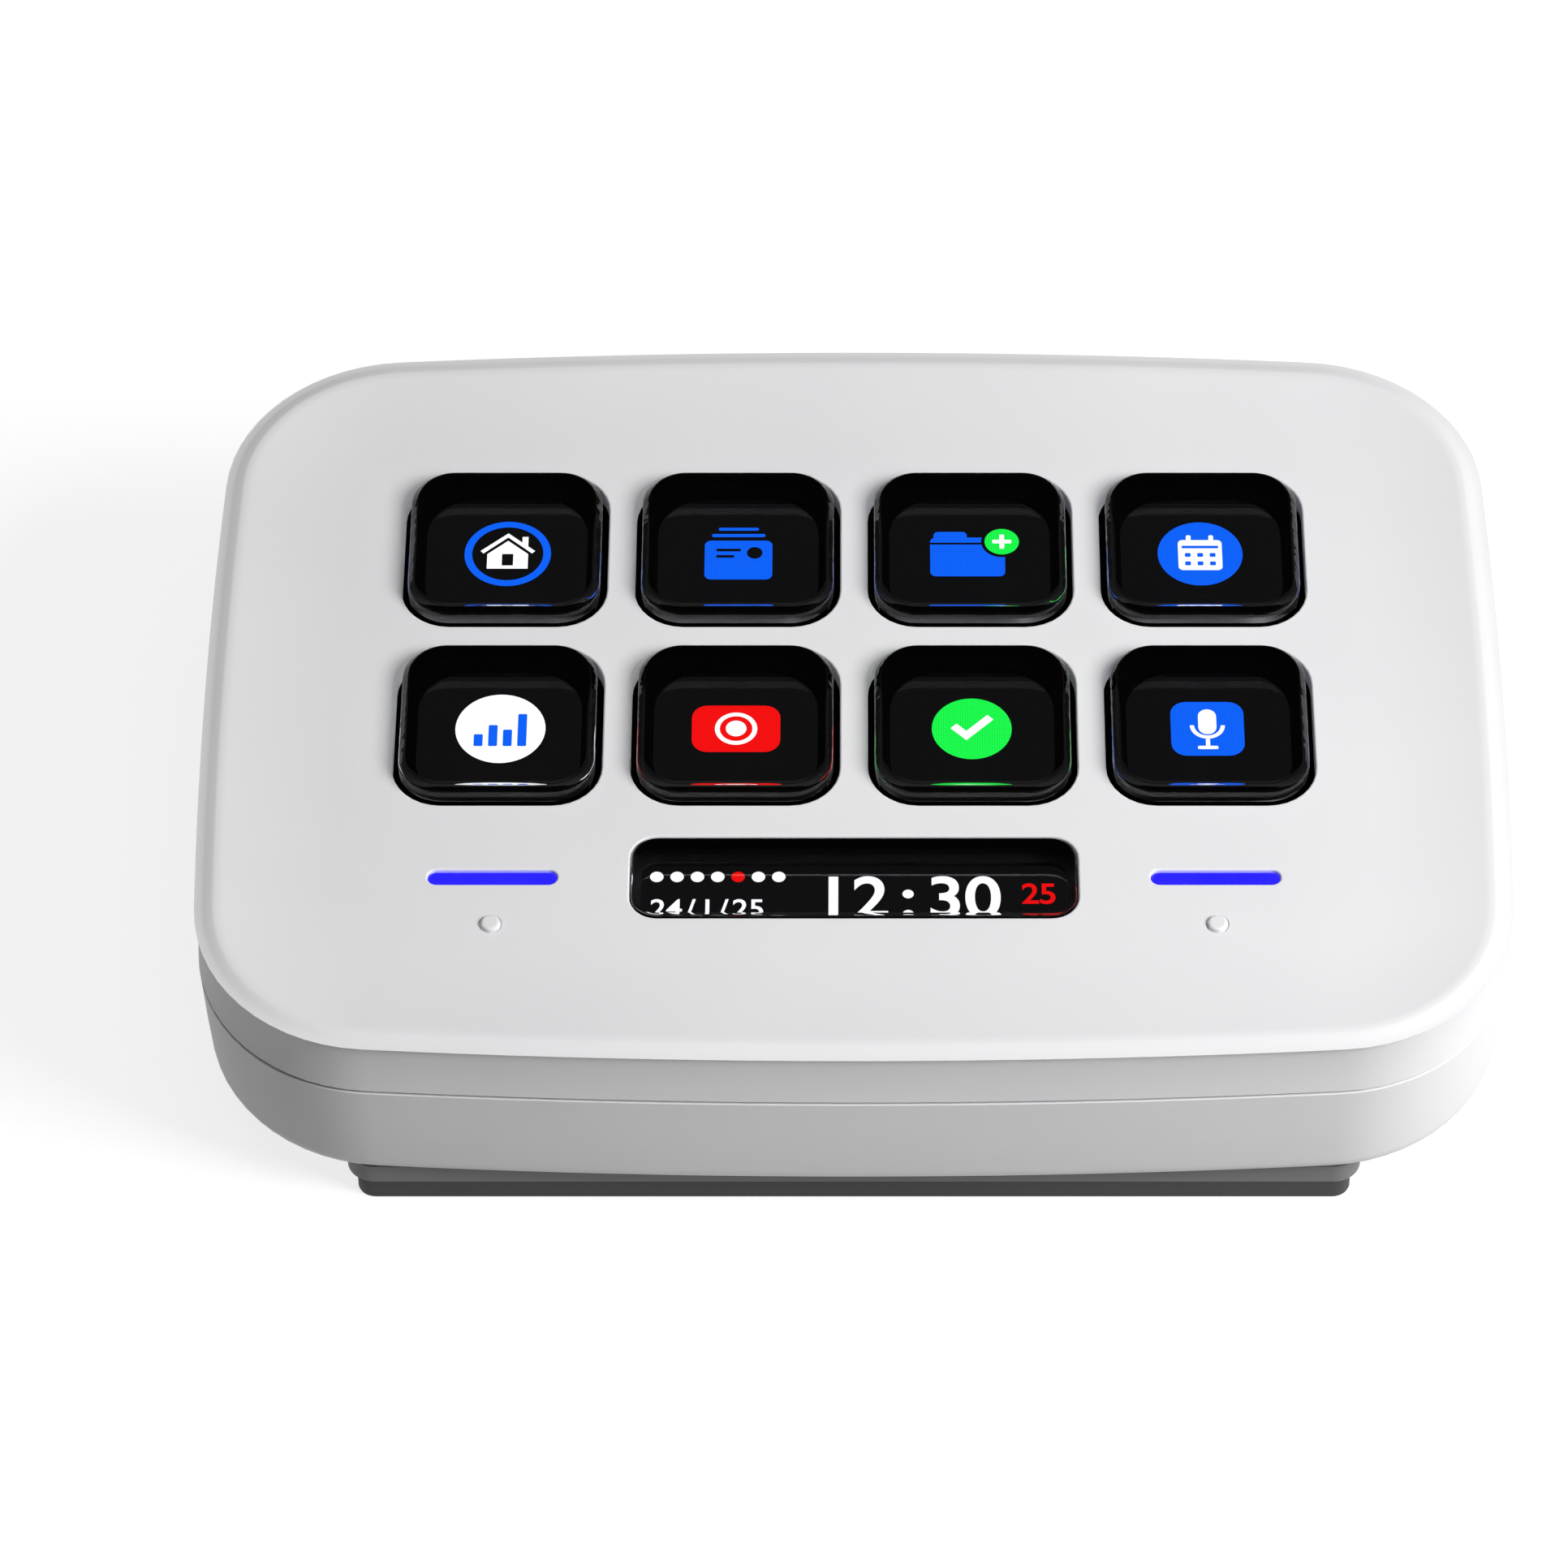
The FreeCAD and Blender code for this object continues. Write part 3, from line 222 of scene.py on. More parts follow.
def shades(tree, noise, first, second):
    """A colour that drifts between two hex colours with the noise."""
    return add(tree, "ShaderNodeMix", {"Factor": noise, "A": linear(first), "B": linear(second)},
               data_type="RGBA")


def ranged(tree, value, low, high, first, last, kind="LINEAR"):
    """A value that runs from low to high, turned into one that runs from first to last."""
    return add(tree, "ShaderNodeMapRange", {"Value": value, "From Min": low, "From Max": high,
                                            "To Min": first, "To Max": last}, interpolation_type=kind)


def uneven(tree, noise, middle, reach):
    """A roughness that differs from its middle value by the reach, with the noise."""
    return ranged(tree, noise, 0.0, 1.0, middle - reach, middle + reach)


def relief(tree, height, deep_mm, strength):
    return add(tree, "ShaderNodeBump", {"Height": height, "Distance": deep_mm * MM, "Strength": strength})


def moulded(name, tone, shade, rough, grain_mm, relief_mm):
    """Moulded plastic or rubber: an even colour with slight flow shades, and a fine spark-eroded grain."""
    finish, tree = new_finish(name)
    flow = shades(tree, speckle(tree, 18.0, 3.0), tone, shade)
    grain = speckle(tree, grain_mm)
    return principled(finish, {"Base Color": flow, "Roughness": uneven(tree, grain, rough, 0.05), "IOR": 1.54,
                               "Normal": relief(tree, grain, relief_mm, 0.5)})


def screen_print(name, tone, shade):
    """Matt screen-printed ink: dull, slightly uneven and without any gloss of its own."""
    finish, tree = new_finish(name)
    return principled(finish, {"Base Color": shades(tree, speckle(tree, 0.6), tone, shade),
                               "Roughness": 0.9, "Specular IOR Level": 0.0})


def polished_acrylic(name, tint, wave_mm, relief_mm, mirror="#FFFFFF"):
    """Clear moulded acrylic: polished faces, and a slight ripple on the walls at its left and right.

    The mirror colour tints what the faces reflect: black stands for an anti-reflective coating."""
    finish, tree = new_finish(name)
    face = add(tree, "ShaderNodeNewGeometry")
    lean = add(tree, "ShaderNodeVectorMath", {0: face.outputs["True Normal"], 1: (1, 0, 0)},
               operation="DOT_PRODUCT")
    side = ranged(tree, maths(tree, "ABSOLUTE", lean), 0.45, 0.85, 0.0, 1.0)
    ripple = maths(tree, "MULTIPLY", speckle(tree, wave_mm, 1.0), side)
    return principled(finish, {"Base Color": linear(tint), "Roughness": 0.015, "IOR": 1.49,
                               "Transmission Weight": 1.0, "Specular Tint": linear(mirror),
                               "Normal": relief(tree, ripple, relief_mm, 1.0)})


def lit_display(name, tone, deep, glow):
    """Display pixels: even light, with a faint grid of deeper lines between them."""
    finish, tree = new_finish(name)
    # Real pixels are 0.1 mm apart; they are drawn 0.2 mm apart so that they show
    grid = add(tree, "ShaderNodeTexBrick", {"Vector": object_place(tree), "Scale": 1.0 / MM,
                                            "Color1": linear(tone), "Color2": linear(tone),
                                            "Mortar": linear(deep), "Mortar Size": 0.012,
                                            "Brick Width": 0.2, "Row Height": 0.2}, offset=0.0)
    show(tree, add(tree, "ShaderNodeEmission", {"Color": grid, "Strength": glow}))
    return finish


def light_guide(name, tone, pale, deep, glow):
    """Frosted light guide lit from below: an even glow with slight clouds."""
    finish, tree = new_finish(name)
    return principled(finish, {"Base Color": linear(deep), "Roughness": 0.35, "Specular IOR Level": 0.2,
                               "Emission Color": shades(tree, speckle(tree, 3.0), tone, pale),
                               "Emission Strength": glow})


def worked_metal(name, tone, rough, grain_mm, stretch=1.0):
    """Rolled or plated metal: fine marks that stretch one way where it was rolled."""
    finish, tree = new_finish(name)
    turned = add(tree, "ShaderNodeMapping", {"Vector": object_place(tree), "Scale": (1.0, stretch, 1.0)})
    marks = add(tree, "ShaderNodeTexNoise", {"Vector": turned, "Scale": 1 / (grain_mm * MM), "Detail": 3.0})
    return principled(finish, {"Base Color": linear(tone), "Metallic": 1.0,
                               "Roughness": uneven(tree, marks, rough, 0.1),
                               "Normal": relief(tree, marks, 0.02, 0.4)})


def board_laminate(name):
    """Glass-fibre board under green mask: paler lines where copper runs below."""
    finish, tree = new_finish(name)
    tracks = add(tree, "ShaderNodeTexBrick", {"Vector": object_place(tree), "Scale": 1.0 / MM,
                                              "Color1": linear("#0E5A2E"), "Color2": linear("#11663A"),
                                              "Mortar": linear("#2C8A55"), "Mortar Size": 0.12,
                                              "Brick Width": 3.2, "Row Height": 0.9})
    return principled(finish, {"Base Color": tracks, "Roughness": 0.35})


FINISHES = {}


def make_finishes():
    """Every material of the keypad, by the name that the pieces use."""
    colours = bpy.context.scene.keypad_display
    glow = colours.glow
    FINISHES.update({
        # White ABS with a fine spark-eroded texture: soft highlights and no visible gloss
        "white shell": moulded("White_ABS_fine_texture", "#EDEDEE", "#E6E6E8", 0.42, 0.25, 0.012),
        # Glass-filled nylon in black: dull and even
        "black frame": moulded("Black_nylon_moulded", "#070708", "#0B0B0C", 0.5, 0.3, 0.01),
        # Moulded silicone rubber in black: dull with a dusty grain
        "black silicone": moulded("Black_silicone_moulded", "#08080A", "#0E0E10", 0.6, 0.4, 0.02),
        # Thermoplastic rubber in dark grey: matt, with a coarse grip texture
        "grip rubber": moulded("Grey_rubber_moulded", "#454545", "#404041", 0.7, 0.35, 0.03),
        # Mid grey ABS for the plinth: the same fine texture as the shell
        "grey plinth": moulded("Grey_ABS_fine_texture", "#767677", "#727273", 0.5, 0.25, 0.012),
        # Epoxy chip packages: black, laser-flat and dull
        "chip epoxy": moulded("Black_epoxy_packages", "#111112", "#18181A", 0.55, 0.2, 0.01),
        # Polyimide ribbon: amber and slightly glossy
        "amber ribbon": moulded("Amber_polyimide_film", "#B4681A", "#9C5712", 0.3, 0.8, 0.005),
        # White backlight foil: bright and satin
        "backlight foil": moulded("White_reflector_foil", "#F2F2F2", "#EAEAEC", 0.35, 0.6, 0.004),
        # Unlit display under an anti-reflective film: no mirror image, and the faint grey of a lit black
        "display glass": lit_display("Black_display_glass", "#0E0E0F", "#0B0B0C", glow),
        # Cast clear acrylic for the caps, with a short ripple on its side walls
        "cap acrylic": polished_acrylic("Clear_acrylic_caps", "#FAFCFF", 1.1, 0.11),
        # The caps' undersides are coated, so that they show no second image of the rear edge
        "coated acrylic": polished_acrylic("Coated_acrylic_underside", "#FAFCFF", 1.1, 0.0, "#000000"),
        # Black screen print on the hidden faces of the clear pieces: dull, and it keeps stray light in
        "black print": screen_print("Black_screen_print", "#020203", "#040405"),
        # Clear acrylic for the window, with a longer and lower ripple at its ends
        "lens acrylic": polished_acrylic("Clear_acrylic_lens", "#F6F8FC", 4.0, 0.06),
        "bar light": light_guide("Blue_light_guide", colours.bar, "#2E28FF", "#08062A", glow),
        # The lit and unlit pixels of the display
        "blue pixels": lit_display("Lit_pixels_blue", colours.blue, "#0B50D0", glow),
        "green pixels": lit_display("Lit_pixels_green", colours.green, "#16C83C", glow),
        "red pixels": lit_display("Lit_pixels_red", colours.red, "#C80C0C", glow),
        "white pixels": lit_display("Lit_pixels_white", colours.white, "#E4E6EA", 1.15 * glow),
        "dark pixels": lit_display("Unlit_pixels", "#0E0E0F", "#0B0B0C", glow),
        # Zinc-plated steel: greyish, with a slight mottle
        "zinc steel": worked_metal("Zinc_plated_steel", "#A9ABAF", 0.38, 0.6),
        # Cold-rolled stainless sheet: long fine marks one way
        "sheet steel": worked_metal("Rolled_stainless_sheet", "#B9BBBE", 0.32, 0.3, 12.0),
        # Nickel-plated socket shell: brighter and smoother
        "socket steel": worked_metal("Nickel_plated_shell", "#C9CACC", 0.25, 0.4),
        # Etched copper foil
        "copper foil": worked_metal("Etched_copper_foil", "#B87346", 0.35, 0.5),
        "board laminate": board_laminate("Green_masked_laminate"),
    })


# Outlines and meshes

def corner_centre(side_x, side, front_y, front, corner):
    """Centre of the corner arc that touches both bowed edges from inside."""
    reach_side = side - corner
    reach_front = front - corner
    span = math.hypot(side_x, front_y)
    along = (span ** 2 + reach_side ** 2 - reach_front ** 2) / (2 * span)
    across = math.sqrt(reach_side ** 2 - along ** 2)
    middle_u = side_x - along * side_x / span
    middle_v = along * front_y / span
    ways = [(middle_u + way * front_y / span, middle_v + way * side_x / span) for way in (-across, across)]
    return max(ways, key=lambda point: point[0] + point[1])


def housing_outline(inset=0.0, softer=0.0):
    """Points round the housing's bowed outline, anticlockwise from the right side's middle."""
    edge_steps = 10
    corner_steps = 14
    sizes = bpy.context.scene.keypad_housing
    side = sizes.side_bow - inset
    front = sizes.front_bow - inset
    corner = sizes.corner + softer - inset
    side_x = sizes.half_width - sizes.side_bow
    front_y = sizes.half_depth - sizes.front_bow
    centre = corner_centre(side_x, side, front_y, front, corner)
    low = math.atan2(centre[1], centre[0] - side_x)
    high = math.atan2(centre[1] - front_y, centre[0])
    quarter = []
    for i in range(edge_steps):
        angle = low * i / edge_steps
        quarter.append((side_x + side * math.cos(angle), side * math.sin(angle)))
    for i in range(corner_steps):
        angle = low + (high - low) * i / corner_steps
        quarter.append((centre[0] + corner * math.cos(angle), centre[1] + corner * math.sin(angle)))
    for i in range(edge_steps + 1):
        angle = high + (math.pi / 2 - high) * i / edge_steps
        quarter.append((front * math.cos(angle), front_y + front * math.sin(angle)))
    half = quarter + [(-u, v) for u, v in reversed(quarter[1:-1])] + [(-quarter[0][0], quarter[0][1])]
    return half + [(u, -v) for u, v in reversed(half[1:-1])]


def round_box(width, depth, radius, u=0.0, v=0.0, steps=8):
    """Points round a box with round corners, anticlockwise."""
    points = []
    for turn, (side_u, side_v) in enumerate(((1, 1), (-1, 1), (-1, -1), (1, -1))):
        middle_u = u + (width / 2 - radius) * side_u
        middle_v = v + (depth / 2 - radius) * side_v
        for i in range(steps + 1):
            angle = (turn + i / steps) * math.pi / 2
            points.append((middle_u + radius * math.cos(angle), middle_v + radius * math.sin(angle)))
    return points


def ring(mesh, points, level):
    """One closed row of vertices at a level of the panel's frame."""
    return [mesh.verts.new(world(u, v, level)) for u, v in points]


def skin(mesh, rows):
    """Faces between each row of vertices and the next one."""
    for low, high in zip(rows, rows[1:]):
        for i in range(len(low)):
            j = (i + 1) % len(low)
            mesh.faces.new((low[i], low[j], high[j], high[i]))


def turn_face(face, up=True):
    """Let a face look up from the panel, or down."""
    face.normal_update()
    if (face.normal.dot(NORMAL) > 0) != up:
        face.normal_flip()


def fill(mesh, rows, up=True):
    """A flat face inside the first row, with the other rows as its holes."""
    points = [[FROM_WORLD @ vertex.co for vertex in row] for row in rows]
    vertices = [vertex for row in rows for vertex in row]
    for corners in tessellate_polygon(points):
        turn_face(mesh.faces.new([vertices[i] for i in corners]), up)


def quarter_turn(steps):
    """Evenly spaced angles from nothing to a right angle."""
    return [i / steps * math.pi / 2 for i in range(steps + 1)]


def quarter_round(radius):
    """Offsets outward and downward along a quarter circle, from flat to upright."""
    return [(radius * (1 - math.sin(angle)), -radius * (1 - math.cos(angle))) for angle in quarter_turn(4)]


def grown(shape, out):
    """The width, depth and corner radius of a round box that reaches further out all round."""
    width, depth, radius = shape
    return width + 2 * out, depth + 2 * out, radius + out


def block(mesh, rows):
    """A closed block through rows of vertices that lie level in the panel's frame."""
    skin(mesh, rows)
    fill(mesh, [rows[0]], up=False)
    fill(mesh, [rows[-1]])


def plug(mesh, rows):
    """A closed plug through rows of vertices, with one face at each end."""
    skin(mesh, rows)
    mesh.faces.new(list(reversed(rows[0])))
    mesh.faces.new(rows[-1])


def print_hidden(mesh, flange_top, foot, wall_top, foot_finish):
    """Give a clear piece its second finish on the flange and on the hidden front and rear walls.

    The face at its foot, through which the display shines, gets a finish of its own."""
    mesh.normal_update()
    for face in mesh.faces:
        middle = (FROM_WORLD @ face.calc_center_median()).z
        top = max((FROM_WORLD @ vertex.co).z for vertex in face.verts)
        if middle < foot:
            face.material_index = foot_finish
        elif top < flange_top or (middle < wall_top and abs(face.normal.y) > 0.5):
            face.material_index = 1


def linked(name, data):
    """An object of the scene with this data."""
    thing = bpy.data.objects.new(name, data)
    bpy.context.scene.collection.objects.link(thing)
    return thing


def new_object(mesh, name):
    """Turn the mesh into an object of the scene."""
    data = bpy.data.meshes.new(name)
    mesh.to_mesh(data)
    mesh.free()
    return linked(name, data)


def into_piece(mesh, name, finishes):
    """Turn the mesh into a shaded object, creased at its sharp edges and round its large flats."""
    mesh.normal_update()
    limit = math.radians(32.0)
    for face in mesh.faces:
        face.smooth = True
    for edge in mesh.edges:
        if len(edge.link_faces) != 2:
            continue
        first, second = edge.link_faces
        flats = sum(abs(face.normal.dot(NORMAL)) > 0.99999 for face in (first, second))
        edge.smooth = not (flats == 1 or first.normal.angle(second.normal, 0) > limit)
    piece = new_object(mesh, name)
    for finish in finishes:
        piece.data.materials.append(FINISHES[finish])
    return piece


def place_piece(piece, body, nodes=()):
    """Let a finished piece ride on its body and stand for its CAD nodes."""
    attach(piece, body)
    if nodes:
        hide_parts(*nodes)
    return piece


def baked_mesh(thing, name):
    """The plain mesh of an object with its modifiers and curves worked out."""
    graph = bpy.context.evaluated_depsgraph_get()
    data = bpy.data.meshes.new_from_object(thing.evaluated_get(graph))
    data.name = name
    return data


def bake(thing):
    """Put an object's worked-out mesh in the place of its modifiers."""
    data = baked_mesh(thing, thing.name)
    thing.modifiers.clear()
    thing.data = data


def key_places():
    """Number, column place and row place of every key, back row first, left to right."""
    sizes = bpy.context.scene.keypad_keys
    for row in range(ROWS):
        for column in range(COLUMNS):
            u = sizes.pitch * (column - (COLUMNS - 1) / 2)
            v = sizes.field_row + sizes.pitch * ((ROWS - 1) / 2 - row)
            yield row * COLUMNS + column + 1, u, v


# Width, depth and corner radius of the window and of the light bars
WINDOW = (36.2, 8.5, 2.25)
BAR = (10.5, 1.5, 0.75)
WINDOW_ROW = -19.62
BAR_COLUMN = 29.17
DOT_ROW = -24.52
CASE_SCREW_PLACES = [(u, v) for u in (-45.0, 45.0) for v in (-24.0, 24.0)]
PLINTH_SCREW_PLACES = [(-36.0, 21.84), (36.0, 21.84)]

# The stage in metres: the paper's half side and level, and the place and size of each softbox. The paper
# lies a hair under the pad, so that no view from below shows the two faces fighting for one plane
PAPER_HALF = 4.0
PAPER_LEVEL = -0.02 * MM
KEY_BOX = ((0.39, -0.2, 0.345), 0.25)
TOP_BOX = ((0.0, -0.1, 1.1), 0.9)
LIT_POINT = Vector((0, 0, 0.02))

# The camera aims at this row of the panel; its shifts are parts of the picture's width
AIM_ROW = -9.11
CAMERA_SHIFT = (-0.0446, -0.0068)


class StageOperator(bpy.types.Operator):
    """Lay the floor, hang the softboxes and set up the camera"""
    bl_idname = "keypad.stage"
    bl_label = "Stage, light and camera"

    def execute(self, context):
        settings = context.scene.keypad_stage
        mesh = bmesh.new()
        mesh.faces.new([mesh.verts.new((x * PAPER_HALF, y * PAPER_HALF, PAPER_LEVEL))
                        for x, y in ((-1, -1), (1, -1), (1, 1), (-1, 1))])
        floor = new_object(mesh, "floor")
        floor.data.materials.append(self.paper())
        self.studio(context.scene)
        self.softbox("key_softbox", *KEY_BOX, settings.key_light)
        self.softbox("top_softbox", *TOP_BOX, settings.top_light)
        self.camera(context.scene, settings)
        return {"FINISHED"}

    def paper(self):
        """Matt backdrop paper that the camera and every gloss see as near white, with the shadow kept."""
        finish, tree = new_finish("Matt_backdrop_paper")
        grey = shades(tree, speckle(tree, 2.0), "#9E9E9E", "#9B9B9B")
        cloth = add(tree, "ShaderNodeBsdfDiffuse", {"Color": grey})
        rays = add(tree, "ShaderNodeLightPath").outputs
        seen = maths(tree, "MAXIMUM", rays["Is Camera Ray"], rays["Is Glossy Ray"])
        seen = maths(tree, "MAXIMUM", seen, rays["Is Transmission Ray"])
        lift = maths(tree, "MULTIPLY", seen, 0.8)
        glow = add(tree, "ShaderNodeEmission", {"Color": (1, 1, 1, 1), "Strength": lift})
        both = add(tree, "ShaderNodeAddShader", {0: cloth, 1: glow})
        # From below the paper is clear, so that the underside can be seen
        side = add(tree, "ShaderNodeNewGeometry").outputs["Backfacing"]
        clear = add(tree, "ShaderNodeBsdfTransparent")
        show(tree, add(tree, "ShaderNodeMixShader", {0: side, 1: both, 2: clear}))
        return finish

    def studio(self, scene):
        """A dim studio: a soft glow overhead, a fainter one low round the walls, and nearly dark between."""
        scene.world = bpy.data.worlds.new("studio")
        scene.world.use_nodes = True
        tree = scene.world.node_tree
        tree.nodes.clear()
        place = add(tree, "ShaderNodeTexCoord").outputs["Generated"]
        height = add(tree, "ShaderNodeSeparateXYZ", {"Vector": place}).outputs["Z"]
        overhead = ranged(tree, height, 0.9, 1.0, 0.02, 0.25, "SMOOTHSTEP")
        low = ranged(tree, height, 0.1, 0.6, 0.06, 0.0, "SMOOTHSTEP")
        glow = maths(tree, "ADD", overhead, low)
        sky = add(tree, "ShaderNodeBackground", {"Color": (1, 1, 1, 1), "Strength": glow})
        add(tree, "ShaderNodeOutputWorld", {"Surface": sky})

    def softbox(self, name, place, size, watts):
        lamp = bpy.data.lights.new(name, "AREA")
        lamp.shape = "SQUARE"
        lamp.size = size
        lamp.energy = watts
        thing = linked(name, lamp)
        thing.location = place
        thing.rotation_euler = (LIT_POINT - Vector(place)).to_track_quat("-Z", "Y").to_euler()
        # The caps and the lens would mirror the boxes as hard white spots
        thing.visible_glossy = False

    def camera(self, scene, settings):
        view = bpy.data.cameras.new("photo_camera")
        view.lens = settings.lens
        view.sensor_width = 36.0
        view.shift_x, view.shift_y = CAMERA_SHIFT
        view.clip_end = 20.0
        thing = linked("photo_camera", view)
        away = Vector((0, -math.cos(settings.elevation), math.sin(settings.elevation)))
        thing.location = world(0, AIM_ROW, 0) + away * settings.distance * MM
        thing.rotation_euler = (math.pi / 2 - settings.elevation, 0, 0)
        scene.camera = thing
        scene.view_settings.view_transform = "Standard"


# Cover: wall, rounding of the rim's edge, bevel along the gap, and lip round the openings
COVER_WALL = 1.7
RIM_EDGE = 0.35
GAP_BEVEL = 0.08
LIP = 0.16
RIM_STEPS = 6
SLOPE_STEPS = 14
# How the rim band's fall gathers towards the outside
RIM_CURVE = 1.15
# Raised dot: radius and height over the panel, from the outer edge of its groove to its flat top
DOT_PROFILE = ((1.0, 0.0), (0.94, -0.05), (0.92, -0.16), (0.83, -0.16),
               (0.8, 0.12), (0.76, 0.21), (0.68, 0.26), (0.55, 0.28))


class CoverOperator(bpy.types.Operator):
    """Mould the dished top cover with its openings and raised dots"""
    bl_idname = "keypad.cover"
    bl_label = "Top cover"

    def execute(self, context):
        keys = context.scene.keypad_keys
        mesh = bmesh.new()
        rows = [ring(mesh, housing_outline(inset), level) for inset, level in self.profile()]
        skin(mesh, rows)
        tops, feet = [rows[-1]], [rows[0]]
        opening = (keys.opening, keys.opening, keys.opening_round)
        openings = [(opening, u, v) for _, u, v in key_places()] + [(WINDOW, 0, WINDOW_ROW)]
        openings += [(BAR, BAR_COLUMN * side, WINDOW_ROW) for side in (-1, 1)]
        for shape, u, v in openings:
            hole = [ring(mesh, round_box(*grown(shape, out), u, v), PANEL + down)
                    for out, down in quarter_round(LIP)]
            hole.append(ring(mesh, round_box(*shape, u, v), PLATE_UNDER))
            skin(mesh, hole)
            tops.append(hole[0])
            feet.append(hole[-1])
        tops += [self.dot(mesh, BAR_COLUMN * side) for side in (-1, 1)]
        fill(mesh, tops)
        fill(mesh, feet, up=False)
        cover = into_piece(mesh, "cover_shell", ["white shell"])
        place_piece(cover, "housing", ["top_cover"])
        return {"FINISHED"}

    def profile(self):
        """Inset and level of each row, from under the plate round the foot and over the rim to the field."""
        sizes = bpy.context.scene.keypad_housing
        band, fall = sizes.rim_band, sizes.rim_fall
        rows = [(COVER_WALL, PLATE_UNDER), (COVER_WALL, COVER_FOOT), (GAP_BEVEL, COVER_FOOT),
                (0.0, COVER_FOOT + GAP_BEVEL)]
        rows += [(RIM_EDGE - out, down - fall) for out, down in reversed(quarter_round(RIM_EDGE))]
        for i in range(1, RIM_STEPS + 1):
            t = i / RIM_STEPS
            rows.append((RIM_EDGE + (band - RIM_EDGE) * t, -fall * (1 - t) ** RIM_CURVE))
        for i in range(1, SLOPE_STEPS + 1):
            t = i / SLOPE_STEPS
            rows.append((band + sizes.slope * t, PANEL * (1 - (1 - t) ** 2)))
        return rows

    def dot(self, mesh, u):
        """A low flat button in a narrow groove; its outer row is a hole in the panel's flat."""
        rows = [ring(mesh, disc(u, DOT_ROW, radius, 40), PANEL + rise) for radius, rise in DOT_PROFILE]
        skin(mesh, rows)
        mesh.faces.new(rows[-1])
        return rows[0]


# Shell: taper to the foot, softer corners there, wall, and where the tongue stands and ends
TAPER = 0.45
SOFTER = 0.5
SHELL_WALL = 2.6
TONGUE_INSET = 1.85
TONGUE_TOP = SHELL_TOP + 1.4
# Row between foot and gap: its parts of the taper and of the softer corners, and how far down it lies
MIDDLE_TAPER = 0.35
MIDDLE_SOFTER = 0.6
MIDDLE_DOWN = 0.45
# Socket opening in the rear wall: level of its middle, the slot, the flare that leads into it, and how far
# behind the wall each row of the cut lies
SOCKET_LEVEL = -10.57
SLOT = (9.38, 3.7, 1.849)
FLARE = (10.0, 4.32, 2.159)
SOCKET_CUT = ((FLARE, 0.2), (SLOT, -0.3), (SLOT, -4.0))
# Screw recesses: shape, and how far over the underside the cut starts and ends
RECESS = (5.2, 5.2, 2.599)
RECESS_CUT = (-1.0, 1.9)


class ShellOperator(bpy.types.Operator):
    """Mould the bottom shell with its tongue, socket opening and screw recesses"""
    bl_idname = "keypad.shell"
    bl_label = "Bottom shell"

    def execute(self, context):
        mesh = bmesh.new()
        block(mesh, [ring(mesh, housing_outline(inset, softer), level)
                     for inset, softer, level in self.profile()])
        shell = into_piece(mesh, "shell_body", ["white shell"])
        cutter = self.cutter()
        cut = shell.modifiers.new("openings", "BOOLEAN")
        cut.operation = "DIFFERENCE"
        cut.solver = "EXACT"
        cut.object = cutter
        bake(shell)
        bpy.data.objects.remove(cutter)
        place_piece(shell, "housing", ["bottom_shell"])
        return {"FINISHED"}

    def profile(self):
        """Inset, corner softening and level of each row, from the underside up and over the tongue."""
        radius = bpy.context.scene.keypad_housing.foot_round
        tall = SHELL_TOP - BODY_FOOT
        rows = [(TAPER + radius, SOFTER, BODY_FOOT)]
        for angle in quarter_turn(6)[1:]:
            rows.append((TAPER * (1 - radius / tall) + radius * (1 - math.sin(angle)), SOFTER,
                         BODY_FOOT + radius * (1 - math.cos(angle))))
        rows.append((TAPER * MIDDLE_TAPER, SOFTER * MIDDLE_SOFTER, SHELL_TOP - tall * MIDDLE_DOWN))
        return rows + [(0.0, 0.0, SHELL_TOP - GAP_BEVEL), (GAP_BEVEL, 0.0, SHELL_TOP),
                       (TONGUE_INSET, 0.0, SHELL_TOP), (TONGUE_INSET, 0.0, TONGUE_TOP),
                       (SHELL_WALL, 0.0, TONGUE_TOP), (SHELL_WALL, 0.0, FLOOR)]

    def cutter(self):
        """The socket's opening and the four screw recesses, as closed plugs."""
        mesh = bmesh.new()
        rear = bpy.context.scene.keypad_housing.half_depth
        plug(mesh, [[mesh.verts.new(world(u, rear + past, w))
                     for u, w in round_box(*shape, 0.0, SOCKET_LEVEL)] for shape, past in SOCKET_CUT])
        for place in CASE_SCREW_PLACES:
            plug(mesh, [ring(mesh, round_box(*RECESS, *place), BODY_FOOT + rise) for rise in RECESS_CUT])
        bmesh.ops.recalc_face_normals(mesh, faces=mesh.faces)
        return new_object(mesh, "plugs")


# Cap: shape of the core that reaches down to the display, its bevel, and the flange that holds the cap
CORE = (13.9, 13.9, 4.2)
CORE_FOOT = CAP_FOOT - 0.88
CORE_BEVEL = 0.2
CAP_FLANGE = (17.9, 17.9, 4.6)
CAP_FLANGE_TOP = CAP_FOOT + 0.78
# Its side from the wall up to the flat: how far in and how far down each step lies
CAP_SHOULDER = ((0.02, 0.72), (0.05, 0.62), (0.12, 0.52), (0.23, 0.4), (0.36, 0.26),
                (0.48, 0.14), (0.57, 0.06), (0.66, 0.015), (0.78, 0.0))
# The black print on its walls ends at this level, just inside the opening
CAP_PRINT_TOP = PANEL - 0.2


